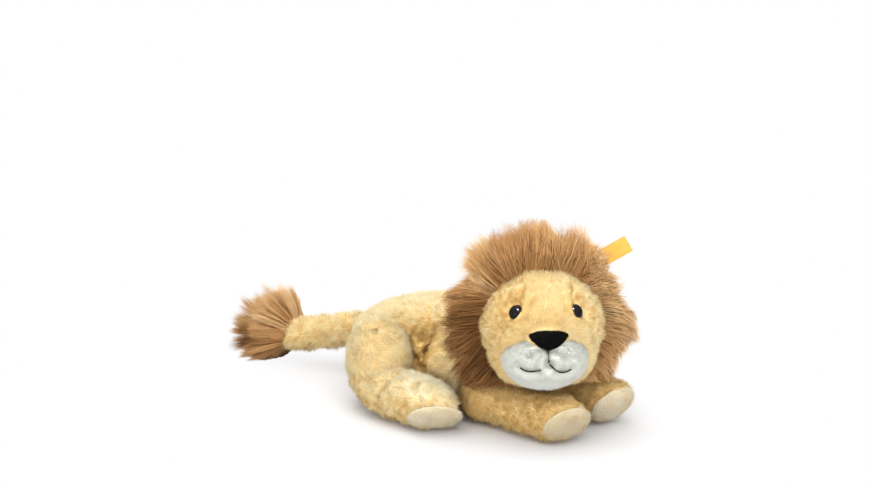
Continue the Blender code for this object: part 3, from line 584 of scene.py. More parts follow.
# %% Rear legs
def facing_of(node):
    """A sole's middle and the way it faces, from its solid."""
    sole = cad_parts[node]
    points = np.array([sole.matrix_world @ v.co for v in sole.data.vertices])
    middle = points.mean(0)
    facing = np.linalg.svd(points - middle, full_matrices=False)[2][2]
    return middle, facing * -np.sign(facing[1])


def leg_hair(node, base, fall):
    """How long the pile of a leg is and how it lies: it hangs over the sole's seam."""
    middle, facing = facing_of(node)

    def near(roots):
        return np.clip(((roots - middle) @ facing + 0.012) / 0.006, 0, 1)

    def length(roots):
        return FLUFF * 0.9 * (1 + 0.5 * near(roots))

    def comb(roots):
        return np.array(base) + near(roots)[:, None] * (2.2 * facing + np.array((0, 0, fall)))
    return length, comb


def plush_leg(leg, end, side, seed, relief, way, fall, per_mm2, tone, curl=None):
    """Crumples a leg, dresses it and gives it its pile."""
    body, node = "%s_%s_leg" % (end, side), "%s_leg_%s" % (end, side)
    crumpled(leg, seed % 100, *relief)
    dressed(leg, body, "cream_plush", cream_cloth, node + "_cover", node + "_filling")
    length, comb = leg_hair("%s_sole_%s" % (end, side), way, fall)
    hair = pile(node + "_pile", leg, seed, length, 0.0008, per_mm2, comb, tone,
                keep=off_floor, curl=curl)
    dressed(hair, body, "cream_plush", cream_pile)


def mirrored(path):
    """A path on the other side of the body."""
    return np.array(path) * (-1, 1, 1) if len(path) else path


rear_right = stuffed("rear_leg_right_filling", "rear_leg_right_skin")
# the last number of each fold is the painted shade in its pile
rear_folds = (
    (((403, 350), (408, 362)), 0.0090, -0.0030, 0.0, 0.0),
    (((373, 331),), 0.0018, 0.0034, 0.0, 0.40),
    (((366.5, 329.5), (373, 331), (378, 327), (388, 326.5), (398, 329), (403, 335)),
     0.0030, 0.0019, 0.25, 0.14),
    (((402, 373), (399.5, 374.8), (389, 381.4), (382, 390), (379, 398)),
     0.0020, 0.0036, 0.05, 0.16),
    (((379, 398), (384, 410), (392, 420)), 0.0035, 0.0014, 0.0, 0.06),
)
rear_left = stuffed("rear_leg_left_filling", "rear_leg_left_skin")


def leg_curl(roots):
    """Smooth on top of the foot and the thigh, curlier low down and ahead."""
    return np.clip(0.9 - 40 * (roots[:, 2] - 0.02) + 0.25 * mottle(roots, 0.02, 29), 0.05, 1)


def rear_light_and_shade(folds):
    """Painted light on top of the foot, and painted shade low down and in the folds."""
    crease = folds[3][0][:, 1].mean()
    with_fold_shade = fold_shade_tone(0.61, folds)

    def tone(roots):
        ahead = np.clip((crease - roots[:, 1]) / 0.006, 0, 1)
        high = np.clip((roots[:, 2] - 0.022) / 0.012, 0, 1)
        low = np.clip((0.030 - roots[:, 2]) / 0.018, 0, 1)
        # painted light on top of the foot ahead of the crease, painted shade low down
        return with_fold_shade(roots) + 0.28 * (ahead * high) - 0.20 * low
    return tone


right_folds, left_folds = [], []
for spots, width, depth, plump, shade_drop in rear_folds:
    path = seen_on(rear_right, spots)
    drawn_in(rear_right, path, width, depth, plump)
    drawn_in(rear_left, mirrored(path), width, depth, plump)
    right_folds.append((path, width * 1.1, shade_drop))
    left_folds.append((mirrored(path), width * 1.1, shade_drop))
for side, leg, seed, folds in (("right", rear_right, 221, right_folds),
                               ("left", rear_left, 223, left_folds)):
    plush_leg(leg, "rear", side, seed, (0.0004, 0.0002), (0, -0.7, -0.45), -1.2, 1.65,
              rear_light_and_shade(folds), leg_curl)

# %% Front legs
def foreleg_mane_shade(roots):
    """Painted shade where the mane hangs over the leg."""
    return 0.38 - 0.10 * np.clip((roots[:, 1] + 0.185) / 0.03, 0, 1)


for side, seed in (("right", 331), ("left", 333)):
    leg = stuffed("front_leg_%s_filling" % side, "front_leg_%s_skin" % side)
    plush_leg(leg, "front", side, seed, (0.0008, 0.0003), (0, -0.9, -0.4), 0.2, 1.6,
              foreleg_mane_shade)

# %% [markdown]
# ## The soles
# A sole is an oval of beige plush, sewn to the end of a leg. It is a copy of its
# low dome in the model, rounded, and its pile leans out over the seam.

# %% Soles
# painted light and shade: each sole's tone follows how the light falls on it, the far front sole
# lightest and the near one darkest
sole_light_and_shade = {("front", "right"): 0.35, ("front", "left"): 0.95,
              ("rear", "right"): 0.65, ("rear", "left"): 0.65}
for leg in ("front", "rear"):
    for side, seed in (("right", 41), ("left", 43)):
        node = "%s_sole_%s" % (leg, side)
        sole = stuffed(node, node + "_skin", voxel=0.0010, grow=-0.0002, smooth=6, levels=0)
        facing = facing_of(node)[1]
        put_points(sole, points_of(sole) - facing * 0.0022)
        dressed(sole, "%s_%s_leg" % (leg, side), "beige_plush", beige_cloth, node)
        centre = points_of(sole).mean(0)
        nap = pile(node + "_nap", sole, 400 + seed, 0.0024, 0.0005, 3.0,
                   lambda roots: unit(roots - centre) * 0.5 + np.array((0, 0, -0.8)),
                   sole_light_and_shade[leg, side], lean=0.7, sway=0.5, stray=0.35, tuft=0.006,
                   keep=lambda roots, out: off_floor(roots, out) & (out @ facing > -0.1))
        dressed(nap, "%s_%s_leg" % (leg, side), "beige_plush", beige_pile)

# %% [markdown]
# ## The head
# The face is cream plush with a raised middle panel: two seams run from the
# forehead down past the inner corners of the eyes to the snout. The eyes sit in
# drawn-in hollows. Behind the face's edge the long mane is sewn on instead.

# %% Head
def melted(name, lumps, place, voxel=0.002, smooth=6):
    """Joins round lumps, each (middle, radii), into one smooth stuffed form."""
    parts = [ball("lump", radii, middle, segments=64, rings=40) for middle, radii in lumps]
    bpy.ops.object.select_all(action='DESELECT')
    for lump in parts:
        lump.select_set(True)
    bpy.ops.object.join()
    piece = bpy.context.object
    piece.name = piece.data.name = name
    shaped(piece, 'REMESH', mode='VOXEL', voxel_size=voxel)
    shaped(piece, 'SMOOTH', factor=0.5, iterations=smooth)
    shaped(piece, 'SUBSURF', levels=1, render_levels=1)
    piece.matrix_world = place
    settle(piece)
    bpy.ops.object.shade_smooth()
    return piece


# The skins lie this far inside the solids, to leave room for the pile.
IN = 0.0022
BRIDGE_MIDDLE = np.array((0, -0.0285, 0.0005))
BRIDGE_RADII = np.array((0.019, 0.027, 0.0130))
NECK_SHARE, NECK_DROP = 0.33, 0.016
NECK_MIDDLE = (np.array(head_middle) * (1 - NECK_SHARE)
               + np.array((*NECK[:2], HEAD_HIGH)) * NECK_SHARE - (0, 0, NECK_DROP))
head = melted("head_skin", (
    ((0, 0, 0), HEAD_RADII - IN),
    (in_head(NECK_MIDDLE), (0.029 - IN,) * 3),
    ((-0.011, -0.010, -0.016), (0.031 - IN, 0.030 - IN, 0.028 - IN)),
    ((0.011, -0.010, -0.016), (0.031 - IN, 0.030 - IN, 0.028 - IN)),
    (BRIDGE_MIDDLE, BRIDGE_RADII - IN)), head_place)
panel_sides = (
    ((526, 262), (524.5, 285), (524, 300), (522, 311), (514, 320), (507, 330), (502, 345)),
    ((570.5, 262), (569.5, 285), (569, 298), (572, 310), (580, 318), (587, 327), (590, 339)))
panel_paths = [seen_on(head, spots) for spots in panel_sides]
panel_edges = [in_head(path)[::-1] for path in panel_paths]
eye_folds = [seen_on(head, spots) for spots in (((525, 290), (524, 300), (522.5, 310)),
                                                ((569, 288), (569, 298), (571.5, 308)))]
brow_folds = [seen_on(head, spots) for spots in (((520, 300), (513, 300), (505, 306)),
                                                 ((573, 299), (579, 299), (586, 305)))]


def eye_seat(side):
    """Where an eye sits on the head; Z points out of it."""
    spread, lift = math.radians(32), math.radians(27)
    spot = np.array((side * math.sin(spread) * math.cos(lift),
                     -math.cos(spread) * math.cos(lift), math.sin(lift))) * HEAD_RADII
    out = Vector(spot / HEAD_RADII ** 2).normalized()
    turn = out.to_track_quat('Z', 'Y').to_matrix().to_4x4()
    return head_place @ Matrix.Translation(Vector(spot)) @ turn


def from_eyes(points):
    """The distance to the nearer eye's middle."""
    return np.minimum(*(np.linalg.norm(points - np.array(eye_seat(side).translation), axis=1)
                        for side in (-1, 1)))


def on_panel(roots):
    """1 on the smooth middle panel of the face, 0 beside it."""
    here = in_head(roots)
    left, right = (np.interp(here[:, 2], edge[:, 2], edge[:, 0]) for edge in panel_edges)
    inside = np.minimum(here[:, 0] - left, right - here[:, 0])
    return (here[:, 1] < 0) / (1 + np.exp(-np.clip(inside / 0.0007, -30, 30)))


points, normals = points_of(head), normals_of(head)
socket = np.exp(-(from_eyes(points) / 0.0095) ** 2)
move = (0.0014 + 0.0032 * socket) * on_panel(points) - 0.0008 * socket
put_points(head, points + normals * move[:, None])
for path in panel_paths:
    drawn_in(head, path, 0.0017, 0.0013, plump=0.3)
for path in eye_folds:
    drawn_in(head, path, 0.0022, 0.0016, plump=0.2)
for path in brow_folds:
    drawn_in(head, path, 0.0026, 0.0010, plump=0.6)
crumpled(head, 51, slow=0.0004, quick=0.0002)
dressed(head, "head", "cream_plush", cream_cloth, "head_cover", "head_filling")

FACE_EDGE = -0.004
MUZZLE_MIDDLE = np.array((0, -0.027, -0.0165))
MUZZLE_RADII = np.array((0.033, 0.031, 0.025))


def face_kept(roots, out):
    here = in_head(roots)
    in_muzzle = (((here - MUZZLE_MIDDLE) / MUZZLE_RADII) ** 2).sum(1) < 0.93
    eyes = from_eyes(roots) + 0.0012 * on_panel(roots)
    nose = (np.abs(here[:, 0]) < 0.0150) & (here[:, 2] < 0.0108) & (here[:, 1] < -0.044)
    return (here[:, 1] < FACE_EDGE + 0.003) & ~in_muzzle & (eyes > 0.0057) & ~nose


def face_comb(roots):
    """Outwards from the nose, over the cheeks and up the forehead."""
    here = in_head(roots) - np.array((0, -0.0555, 0.0035))
    return unit(here) @ to_world.T


def face_tone_and_shade(roots):
    """Lighter on the panel, with painted shade in its seams, in the folds and round the eyes, and
    painted light towards the face's left.
    """
    # painted shade round the eyes
    shade = 0.44 + 0.02 * on_panel(roots) - 0.34 * np.exp(-(from_eyes(roots) / 0.0078) ** 2)
    # painted light: lighter towards the face's left side
    shade = shade + 0.07 * np.clip(in_head(roots)[:, 0] / 0.03, -1, 1)
    # painted shade in the panel's seams, the brow folds and the folds by the eyes
    for path in panel_paths + brow_folds:
        shade -= 0.11 * np.exp(-(away_from(roots, path) / 0.0018) ** 2)
    for path in eye_folds:
        shade -= 0.22 * np.exp(-(away_from(roots, path) / 0.0024) ** 2)
    return shade


def face_curl(roots):
    low = np.clip((0.002 - in_head(roots)[:, 2]) / 0.015, 0, 1)
    curly = 0.95 - 0.85 * on_panel(roots) - 0.6 * low
    return np.clip(curly + 0.2 * mottle(roots, 0.012, 57), 0, 1)


def face_length(roots):
    """Shorter round the eyes, so that no fibre hangs over them."""
    return 0.0038 * np.clip((from_eyes(roots) - 0.002) / 0.007, 0.35, 1)


face_pile = pile("face_pile", head, 501, face_length, 0.00065, 2.2, face_comb, face_tone_and_shade,
                 lean=0.7, sway=0.75, tuft=0.0045, keep=face_kept, curl=face_curl)
dressed(face_pile, "head", "cream_plush", cream_pile)

# %% [markdown]
# ## The muzzle
# The muzzle is soft white plush in two lobes. A thread draws it in below the
# nose, and another pair makes the mouth. It starts as a sphere at its size, and
# the stitches' places draw its surface in.

# %% Muzzle
muzzle = ball("muzzle_skin", MUZZLE_RADII - 0.0016)
muzzle.matrix_world = head_place @ Matrix.Translation(Vector(MUZZLE_MIDDLE))
settle(muzzle)
bpy.ops.object.shade_smooth()
philtrum = seen_on(muzzle, ((548, 349), (548.4, 356), (548.8, 363)))
smile_right = seen_on(muzzle, ((547.5, 365), (541, 370), (532, 371.5), (525, 371), (520, 367.5)))
smile_left = seen_on(muzzle, ((549.5, 364), (554, 369), (560.5, 372.5), (567, 371.5), (571, 369)))
dimple_right = seen_on(muzzle, ((529.9, 355.5),))
dimple_left = seen_on(muzzle, ((567.5, 355.9),))
for path, width, depth, plump in (
        (philtrum, 0.0024, 0.0030, 0.25),
        (smile_right, 0.0026, 0.0022, 0.35), (smile_left, 0.0026, 0.0022, 0.35),
        (dimple_right, 0.0020, 0.0030, 0.25), (dimple_left, 0.0030, 0.0020, 0.25)):
    drawn_in(muzzle, path, width, depth, plump)
crumpled(muzzle, 61, slow=0.0004, quick=0.00015)
points, normals = points_of(muzzle), normals_of(muzzle)
near = np.exp(-(away_from(points, philtrum) / 0.008) ** 2)
put_points(muzzle, points + normals * (0.0005 * near * mottle(points, 0.0035, 63))[:, None])
dressed(muzzle, "head", "white_plush", white_cloth, "muzzle")


def muzzle_kept(roots, out):
    here = in_head(roots)
    outside = ((here / (HEAD_RADII - 0.002)) ** 2).sum(1) > 1
    bridge = ((here - BRIDGE_MIDDLE) / BRIDGE_RADII) ** 2
    nose = np.abs((here - np.array((0, -0.0555, 0.0035))) / np.array((0.0135, 0.006, 0.0075)))
    return outside & (bridge.sum(1) > 0.86) & ~(nose.max(1) < 1)


def muzzle_light_and_shade(roots):
    """Painted light: lighter below, where less light falls, and painted shade in the right
    dimple.
    """
    shade = 0.52 - 0.43 * np.clip((in_head(roots)[:, 2] + 0.018) / 0.02, -1, 1)
    # painted shade: a dark spot in the right dimple
    return shade - 0.9 * np.exp(-(away_from(roots, dimple_right) / 0.0009) ** 2)


muzzle_pile = pile("muzzle_pile", muzzle, 601, 0.0024, 0.00045, 3.0, face_comb, muzzle_light_and_shade,
                   lean=0.6, sway=0.5, tuft=0.004, grain=0.03, keep=muzzle_kept,
                   curl=lambda roots: np.full(len(roots), 0.15), sort=True)
dressed(muzzle_pile, "head", "white_plush", white_pile)

# %% [markdown]
# ## Nose and eyes
# The nose is a padded triangle of black velour: a copy of its solid, rounded,
# with a short black nap. The eyes are hard glossy domes on shanks, cut from a
# sphere and extruded backwards into the head.

# %% Nose
nose = stuffed("nose", "nose_skin", voxel=0.0006, grow=0.0, smooth=4, levels=0)
here = in_head(points_of(nose))
low, high = here[:, 2].min(), here[:, 2].max()
share = np.clip((high - 0.003 - here[:, 2]) / (high - 0.003 - low), 0, 1)
here[:, 0] *= 1 - 0.16 * np.sin(math.pi * share)
put_points(nose, on_head(here))
dressed(nose, "head", "black_velour", black_cloth, "nose")
nose_nap = pile("nose_nap", nose, 611, 0.0011, 0.00032, 6.0, face_comb, 0.5,
                lean=0.3, sway=0.3, stray=0.3, tuft=0.003)
dressed(nose_nap, "head", "black_velour", black_pile)

# %% Eyes
eye_gloss, tree, shader = new_finish("eye_gloss", {
    "Base Color": (0.004, 0.0035, 0.0035, 1), "Roughness": 0.06, "Specular IOR Level": 0.1})
grain = on_object(tree, "TexNoise", {"Scale": 260})
toned(tree, grain, 0, ((0.4, (0.05,) * 3), (0.7, (0.07,) * 3)), shader, "Roughness")
EYE_RADIUS, EYE_DOME, EYE_SUNK = 0.006, 0.0047, 0.0022
SHANK_RADIUS, SHANK_LENGTH = 0.0015, 0.009

for side, label in ((-1, "right"), (1, "left")):
    eye = ball("eye_%s_dome" % label, (EYE_RADIUS, EYE_RADIUS, EYE_DOME), segments=48, rings=32)
    sliced(eye, (0, 0, 0), (0, 0, 1))
    for face in eye.data.polygons:
        face.select = face.normal.z < -0.9
    bpy.ops.object.mode_set(mode='EDIT')
    bpy.ops.mesh.inset(thickness=EYE_RADIUS - SHANK_RADIUS)
    bpy.ops.mesh.extrude_region_move(TRANSFORM_OT_translate={"value": (0, 0, -SHANK_LENGTH)})
    bpy.ops.object.mode_set(mode='OBJECT')
    bpy.ops.object.shade_smooth_by_angle(angle=math.radians(35))
    eye.matrix_world = eye_seat(side) @ Matrix.Translation((0, 0, -EYE_SUNK))
    settle(eye)
    dressed(eye, "head", "black_eye", eye_gloss, "eye_" + label)
    print(eye.name, "reaches", [round(c, 4) for c in eye.dimensions])

# %% [markdown]
# ## Threads
# The mouth is stitched with a black thread that lies in the furrow it draws. A
# thread is a curve with a round section, made a mesh so that it can be placed.

# %% Threads
thread_finish, tree, shader = new_finish("twisted_thread", {"Roughness": 0.85})
twist = on_object(tree, "TexWave", {"Scale": 900, "Distortion": 1.5})
toned(tree, twist, "Fac", ((0, (0.004,) * 3), (1, (0.016,) * 3)), shader)
relieved(tree, twist, "Fac", shader, 0.0003)


def stitched(name, path, out, thick, material, slot, *nodes):
    """A thread along a path, lifted off the fabric by a way out of it."""
    curve = bpy.data.curves.new(name, 'CURVE')
    curve.dimensions, curve.resolution_u = '3D', 6
    curve.bevel_depth, curve.bevel_resolution, curve.use_fill_caps = thick / 2, 3, True
    line = curve.splines.new('NURBS')
    line.points.add(len(path) - 1)
    for point, place in zip(line.points, path + out):
        point.co = (*place, 1)
    line.use_endpoint_u, line.order_u = True, 3
    only(added(name, curve))
    bpy.ops.object.convert(target='MESH')
    thread = bpy.context.object
    bpy.ops.object.shade_smooth()
    return dressed(thread, "head", slot, material, *nodes)


ahead = np.array((0.0, -1.0, 0.0)) @ to_world.T
THREAD = 0.0011
for name, path, off, node in (
        ("lip_stitch", philtrum, 0.0002, "lip_thread"),
        ("mouth_stitch_right", smile_right[1:], 0.0008, "mouth_thread_right"),
        ("mouth_stitch_left", smile_left, 0.0008, "mouth_thread_left")):
    stitched(name, path, ahead * off, THREAD, thread_finish, "black_thread", node)
across = np.array((1.0, 0.0, 0.0)) @ to_world.T * 0.0013
for spot, label in ((dimple_right, "right"), (dimple_left, "left")):
    stitched("dimple_stitch_" + label, np.array([spot[0] - across, spot[0], spot[0] + across]),
             -ahead * 0.0006, 0.0008, white_cloth, "white_thread", "dimple_thread_" + label)

# %% [markdown]
# ## The mane
# The mane is one strip of long pile round the face and over the back of the
# head. Its locks spring out of the seam, lean outwards and end in points where
# fibres cling together. A dark cap under it stands for the crowded feet of the
# pile, so that no light passes between the locks; its dark finish is painted shade.

# %% Mane cap
MANE_FLOOR = 0.0418
CHEST_RADII = np.array((0.0517, 0.0517, 0.0445))
CHEST_AT = np.array((0, -0.0517, 0.0425))
# The tips of the mane level off above this height, so that the toy keeps its size.
MANE_TOP, MANE_TOP_ROOM = 0.1615, 0.0082


def clear_of_body(points, lowest=0.0):
    """Keeps long pile above the forelegs, out of the chest and not too high."""
    points = points.copy()
    off = points - CHEST_AT
    depth = np.linalg.norm(off / CHEST_RADII, axis=-1, keepdims=True)
    inside = (depth < 1)[..., 0]
    points[inside] = (CHEST_AT + off / np.maximum(depth, 0.2))[inside]
    points[..., 2] = np.maximum(points[..., 2], MANE_FLOOR + lowest)
    over = np.maximum(points[..., 2] - MANE_TOP, 0)
    points[..., 2] -= over - MANE_TOP_ROOM * (1 - np.exp(-over / MANE_TOP_ROOM))
    return points


cap = ball("mane_cap", HEAD_RADII + np.array((0.010, 0.008, 0.010)))
sliced(cap, (0, FACE_EDGE + 0.003, 0), (0, 1, 0))
cap.matrix_world = head_place
settle(cap)
put_points(cap, clear_of_body(points_of(cap), 0.003))
crumpled(cap, 71, slow=0.0008, quick=0.0008)
put_points(cap, clear_of_body(points_of(cap), 0.002))
bpy.ops.object.shade_smooth_by_angle(angle=math.radians(50))
dressed(cap, "head", "brown_long_pile", brown_cloth, "mane")

# %% Mane locks
def bezier(start, pull, end, places):
    """Smooth paths from a start towards a pull and on to an end."""
    t = np.linspace(0, 1, places)[None, :, None]
    return (start[:, None] * (1 - t) ** 2 + 2 * pull[:, None] * t * (1 - t)
            + end[:, None] * t ** 2)


def mane_roots(count, dice):
    """Places on the head behind the face, as ways out of its middle."""
    turn = dice.uniform(0, 2 * math.pi, count)
    depth = dice.uniform(0, 1, count) ** 1.1
    lean = np.radians(82) + np.radians(96) * depth
    keep = dice.uniform(size=count) < 0.25 + 0.75 * np.sin(lean)
    turn, depth, lean = turn[keep], depth[keep], lean[keep]
    aside = np.sin(lean)
    ways = np.stack([aside * np.cos(turn), -np.cos(lean), aside * np.sin(turn)], 1)
    return ways, depth, turn


# How far the mane reaches, relative to its mean, at turns round the face.
MANE_TURNS = (-45, -28, -9, 8, 16, 27, 35, 46, 56, 63, 69, 76, 84, 92, 101, 107, 117, 122,
              130, 140, 148, 156, 165, 190, 216, 240)
MANE_REACH = (.90, .85, .95, .90, .95, .86, .90, .80, .92, .98, 1.08, .90, .92, 1.02, 1.06,
              1.0, 1.06, .95, 1.12, .98, 1.07, .98, 1.05, 1.04, 1.06, 1.0)


def mane_tips(ways, depth, turn, grow):
    """Where locks end: out past the seam at the front, and backwards behind."""
    radial = unit(ways * (1, 0, 1))
    reach = 0.072 + 0.006 * np.clip(np.sin(turn), -0.4, 1)
    shape = np.interp(np.degrees(turn), MANE_TURNS, MANE_REACH, period=360)
    reach = reach * shape * (1 + 0.02 * mottle(radial * 0.07, 0.020, 77)
                             + 0.055 * mottle(radial * 0.07, 0.008, 78))
    aside = np.cross(radial, (0, 1, 0)) * (0.008 * mottle(radial * 0.07, 0.026, 79)
                                           + 0.004 * mottle(ways * 0.07, 0.012, 80))[:, None]
    front = radial * reach[:, None] + np.array((0, -0.003, 0)) + aside
    behind = ways * np.array((0.069, 0.064, 0.069)) + aside * 0.6
    share = np.clip(depth * 1.6, 0, 1)[:, None]
    tips = front * (1 - share) + behind * share + np.array((0, 0, 0.003))
    tips[:, 2] -= 0.016 * np.abs(radial[:, 0]) * (1 - 0.5 * share[:, 0])
    return tips * grow[:, None]


# Where the mane hangs down the chest and gets painted shade, and where its blond streak is.
HANGING_TURN, BLOND_TURN = math.radians(218), math.radians(142)


def locks(name, count, lock_count, seed):
    """Long pile in locks: the fibres of a lock meet at its tip."""
    dice = np.random.default_rng(seed)
    centre_way, centre_depth, centre_turn = mane_roots(lock_count, dice)
    lock_count = len(centre_way)
    centre_tip = mane_tips(centre_way, centre_depth, centre_turn,
                           dice.uniform(0.82, 1.14, lock_count))
    twist = dice.normal(size=(lock_count, 3)) * 0.004
    ways, depth, turn = mane_roots(count, dice)
    count = len(ways)
    near = np.argmin(np.linalg.norm(ways[:, None] - centre_way[None], axis=2), axis=1)
    roots = ways * (HEAD_RADII - 0.0015)
    tips = mane_tips(ways, depth, turn, dice.uniform(0.84, 1.08, count))
    cling = dice.uniform(0.35, 0.96, (count, 1))
    tips = tips * (1 - cling) + centre_tip[near] * cling + dice.normal(size=(count, 3)) * 0.0014
    out = unit(ways / HEAD_RADII)
    pull = roots + out * 0.014 + (tips - roots) * 0.35 + twist[near]
    pull[:, 1] -= 0.007 * (1 - np.clip(depth * 2, 0, 1))
    hang = np.exp(-((turn - HANGING_TURN) / 0.45) ** 2)
    lowest = dice.uniform(-0.0035, 0.0045, count) - 0.006 * hang * dice.uniform(size=count)
    paths = clear_of_body(on_head(bezier(roots, pull, tips, 4)), lowest[:, None])
    widths = tapered(dice, count, 0.00045, 0.00085)
    here = in_head(paths[:, -1])
    blond = np.exp(-((turn - BLOND_TURN) / 0.24) ** 2)
    # painted light: lighter towards the face's left and upwards; painted shade where it hangs;
    # the blond streak is its own colour
    tone = 0.55 + 0.23 * here[:, 0] / 0.07 + 0.06 * here[:, 2] / 0.07 - 0.2 * hang + 0.35 * blond
    tone = tone + 0.10 * dice.normal(size=lock_count)[near] + 0.07 * dice.normal(size=count)
    front = 1 - 0.7 * np.clip(depth * 2, 0, 1)
    soft = unit(out * 0.6 + np.array((0.0, -0.5, 0.35)) * front[:, None])
    piece = fibres(name, paths, widths, tone, seed + 1, soft @ to_world.T)
    return dressed(piece, "head", "brown_long_pile", brown_pile, "mane")


LAYERS, LAYER_FIBRES, LAYER_LOCKS = 5, 9600, 170
for layer in range(LAYERS):
    locks("mane_locks_%d" % (layer + 1), LAYER_FIBRES, LAYER_LOCKS, 700 + layer)

# %% [markdown]
# ## The ears and the ribbon
# The ears are flat and round and hardly rise out of the mane, so each is a soft
# core with blonder hair of its own. A bare yellow ribbon is folded double and
# sewn into the edge of the left ear.

# %% Ears
EAR_ANGLE = math.radians(50)
for side, label in ((-1, "right"), (1, "left")):
    ear = stuffed("ear_" + label, "ear_%s_skin" % label, voxel=0.0012, grow=-0.0008, smooth=4,
                  levels=0)
    points = points_of(ear)
    put_points(ear, points.mean(0) + (points - points.mean(0)) * 0.80)
    dressed(ear, label + "_ear", "brown_long_pile", brown_cloth, "ear_" + label)
    seed = 800 + side
    roots, out = roots_on(ear, 1.6, seed)
    dice = np.random.default_rng(seed + 9)
    outward = np.array((side * math.cos(EAR_ANGLE), 0, math.sin(EAR_ANGLE))) @ to_world.T
    way = unit(out * 0.5 + outward * 1.2 + wind_at(roots, 0.006, seed) * 0.18
               + 0.10 * dice.normal(size=out.shape))
    reach = dice.uniform(0.008, 0.015, (len(roots), 1)) * (0.6 if side > 0 else 1.25)
    tips = roots + way * reach
    paths = clear_of_body(bezier(roots - out * 0.001, roots + out * reach * 0.45, tips, 4))
    widths = tapered(dice, len(roots), 0.0005, 0.0009, end=0.45)
    tone = 0.88 + 0.08 * dice.normal(size=len(roots)) + 0.08 * mottle(roots, 0.006, seed + 5)
    hair = fibres("ear_%s_hair" % label, paths, widths, tone, seed + 6)
    dressed(hair, label + "_ear", "brown_long_pile", brown_pile)

# %% Ribbon
ribbon_finish, tree, shader = new_finish("yellow_ribbon_weave", {
    "Roughness": 0.55, "Sheen Weight": 0.2})
turned = on_object(tree, "Mapping", {"Rotation": (0, 0, math.radians(45))})
rib = add_node(tree, "TexWave", {"Scale": 420, "Distortion": 0.4}, bands_direction='X')
cross = add_node(tree, "TexWave", {"Scale": 420}, bands_direction='Z')
weave = add_node(tree, "Math", operation='ADD')
wire(tree, (turned, 0, rib, "Vector"), (turned, 0, cross, "Vector"),
     (rib, "Fac", weave, 0), (cross, "Fac", weave, 1))
patches = on_object(tree, "TexNoise", {"Scale": 220})
toned(tree, patches, 0, ((0.3, (0.76, 0.39, 0.045)), (0.7, (0.83, 0.45, 0.065))), shader)
relieved(tree, weave, 0, shader, 0.0002, 0.35)

TAB_ANGLE = math.radians(30)
TAB_ROOT = Vector(on_head((0.0498, 0.008, 0.0496)))
TAB_OUT = Vector(to_world @ (math.cos(TAB_ANGLE), 0, math.sin(TAB_ANGLE)))
TAB_ACROSS = Vector(to_world @ (math.sin(TAB_ANGLE), 0, -math.cos(TAB_ANGLE)))
TAB_WIDTH, TAB_LENGTH, TAB_SUNK, TAB_PLY = 0.013, 0.0185, 0.0075, 0.00045
bpy.ops.mesh.primitive_grid_add(x_subdivisions=12, y_subdivisions=64, size=1)
ribbon = bpy.context.object
ribbon.name = ribbon.data.name = "folded_ribbon"
points = points_of(ribbon)
half = TAB_LENGTH + TAB_SUNK
fold = 0.0006
along = points[:, 1] * 2 * half
flat = half - fold
turned = np.clip(along / (half - flat), -1, 1) * math.pi / 2
folded = np.abs(along) < half - flat
reach = np.where(folded, flat + fold * np.cos(turned), half - np.abs(along))
lift = np.where(folded, fold * np.sin(turned), np.sign(along) * fold)
bow = 0.0006 * (1 - (points[:, 0] * 2) ** 2) * np.sin(math.pi * np.clip(reach / half, 0, 1))
points = np.stack([points[:, 0] * TAB_WIDTH, reach - TAB_SUNK, lift + bow], 1)
put_points(ribbon, points)
frame_of_tab = Matrix((TAB_ACROSS, TAB_OUT, TAB_ACROSS.cross(TAB_OUT))).transposed().to_4x4()
ribbon.matrix_world = Matrix.Translation(TAB_ROOT) @ frame_of_tab
settle(ribbon)
shaped(ribbon, 'SOLIDIFY', thickness=TAB_PLY, offset=0)
bpy.ops.object.shade_smooth_by_angle(angle=math.radians(40))
dressed(ribbon, "tab", "yellow_ribbon", ribbon_finish, "ribbon_tab")

# %% [markdown]
# ## The tail and its tassel
# The tail is a short stuffed tube in cream plush. Its tip is sewn into a bunch
# of long brown pile that opens like a brush and lies on the floor.

# %% Tail
tail = stuffed("tail_filling", "tail_skin")
crumpled(tail, 91, slow=0.0004, quick=0.0001)
dressed(tail, "tail", "cream_plush", cream_cloth, "tail_cover", "tail_filling")
TASSEL_START, SEAM_SLANT, TAIL_TIP_HIGH = 0.129, 0.35, 0.0235


def tail_kept(roots, out):
    seam = TASSEL_START - 0.004 - SEAM_SLANT * (roots[:, 2] - TAIL_TIP_HIGH)
    return (roots[:, 1] < seam) & off_floor(roots, out)


def tail_tone(roots):
    return 0.48 - 0.06 * np.clip((roots[:, 1] - 0.10) / 0.03, 0, 1)


tail_pile = pile("tail_pile", tail, 901, FLUFF, 0.00075, 1.8, (0, 0.8, -0.3), tail_tone,
                 keep=tail_kept)
dressed(tail_pile, "tail", "cream_plush", cream_pile)

# %% Tassel
TAIL_FROM, TAIL_LENGTH = 0.0743, 0.079


def tail_middle(y):
    """The tail's middle line, which bends to the lion's right and sinks."""
    along = np.clip((np.asarray(y, float) - TAIL_FROM) / TAIL_LENGTH, 0, 1.3)
    bend = np.minimum(along * (2 - along), 1)
    return np.stack([-0.020 * bend, np.asarray(y, float), 0.0345 - 0.012 * bend], -1)


core = ball("tassel_core", (0.0132, 0.0140, 0.0132), tail_middle(0.1430), segments=48, rings=32)
crumpled(core, 941, slow=0.0004, quick=0.0006)
bpy.ops.object.shade_smooth()
dressed(core, "tail", "brown_long_pile", brown_cloth, "tail_tassel")


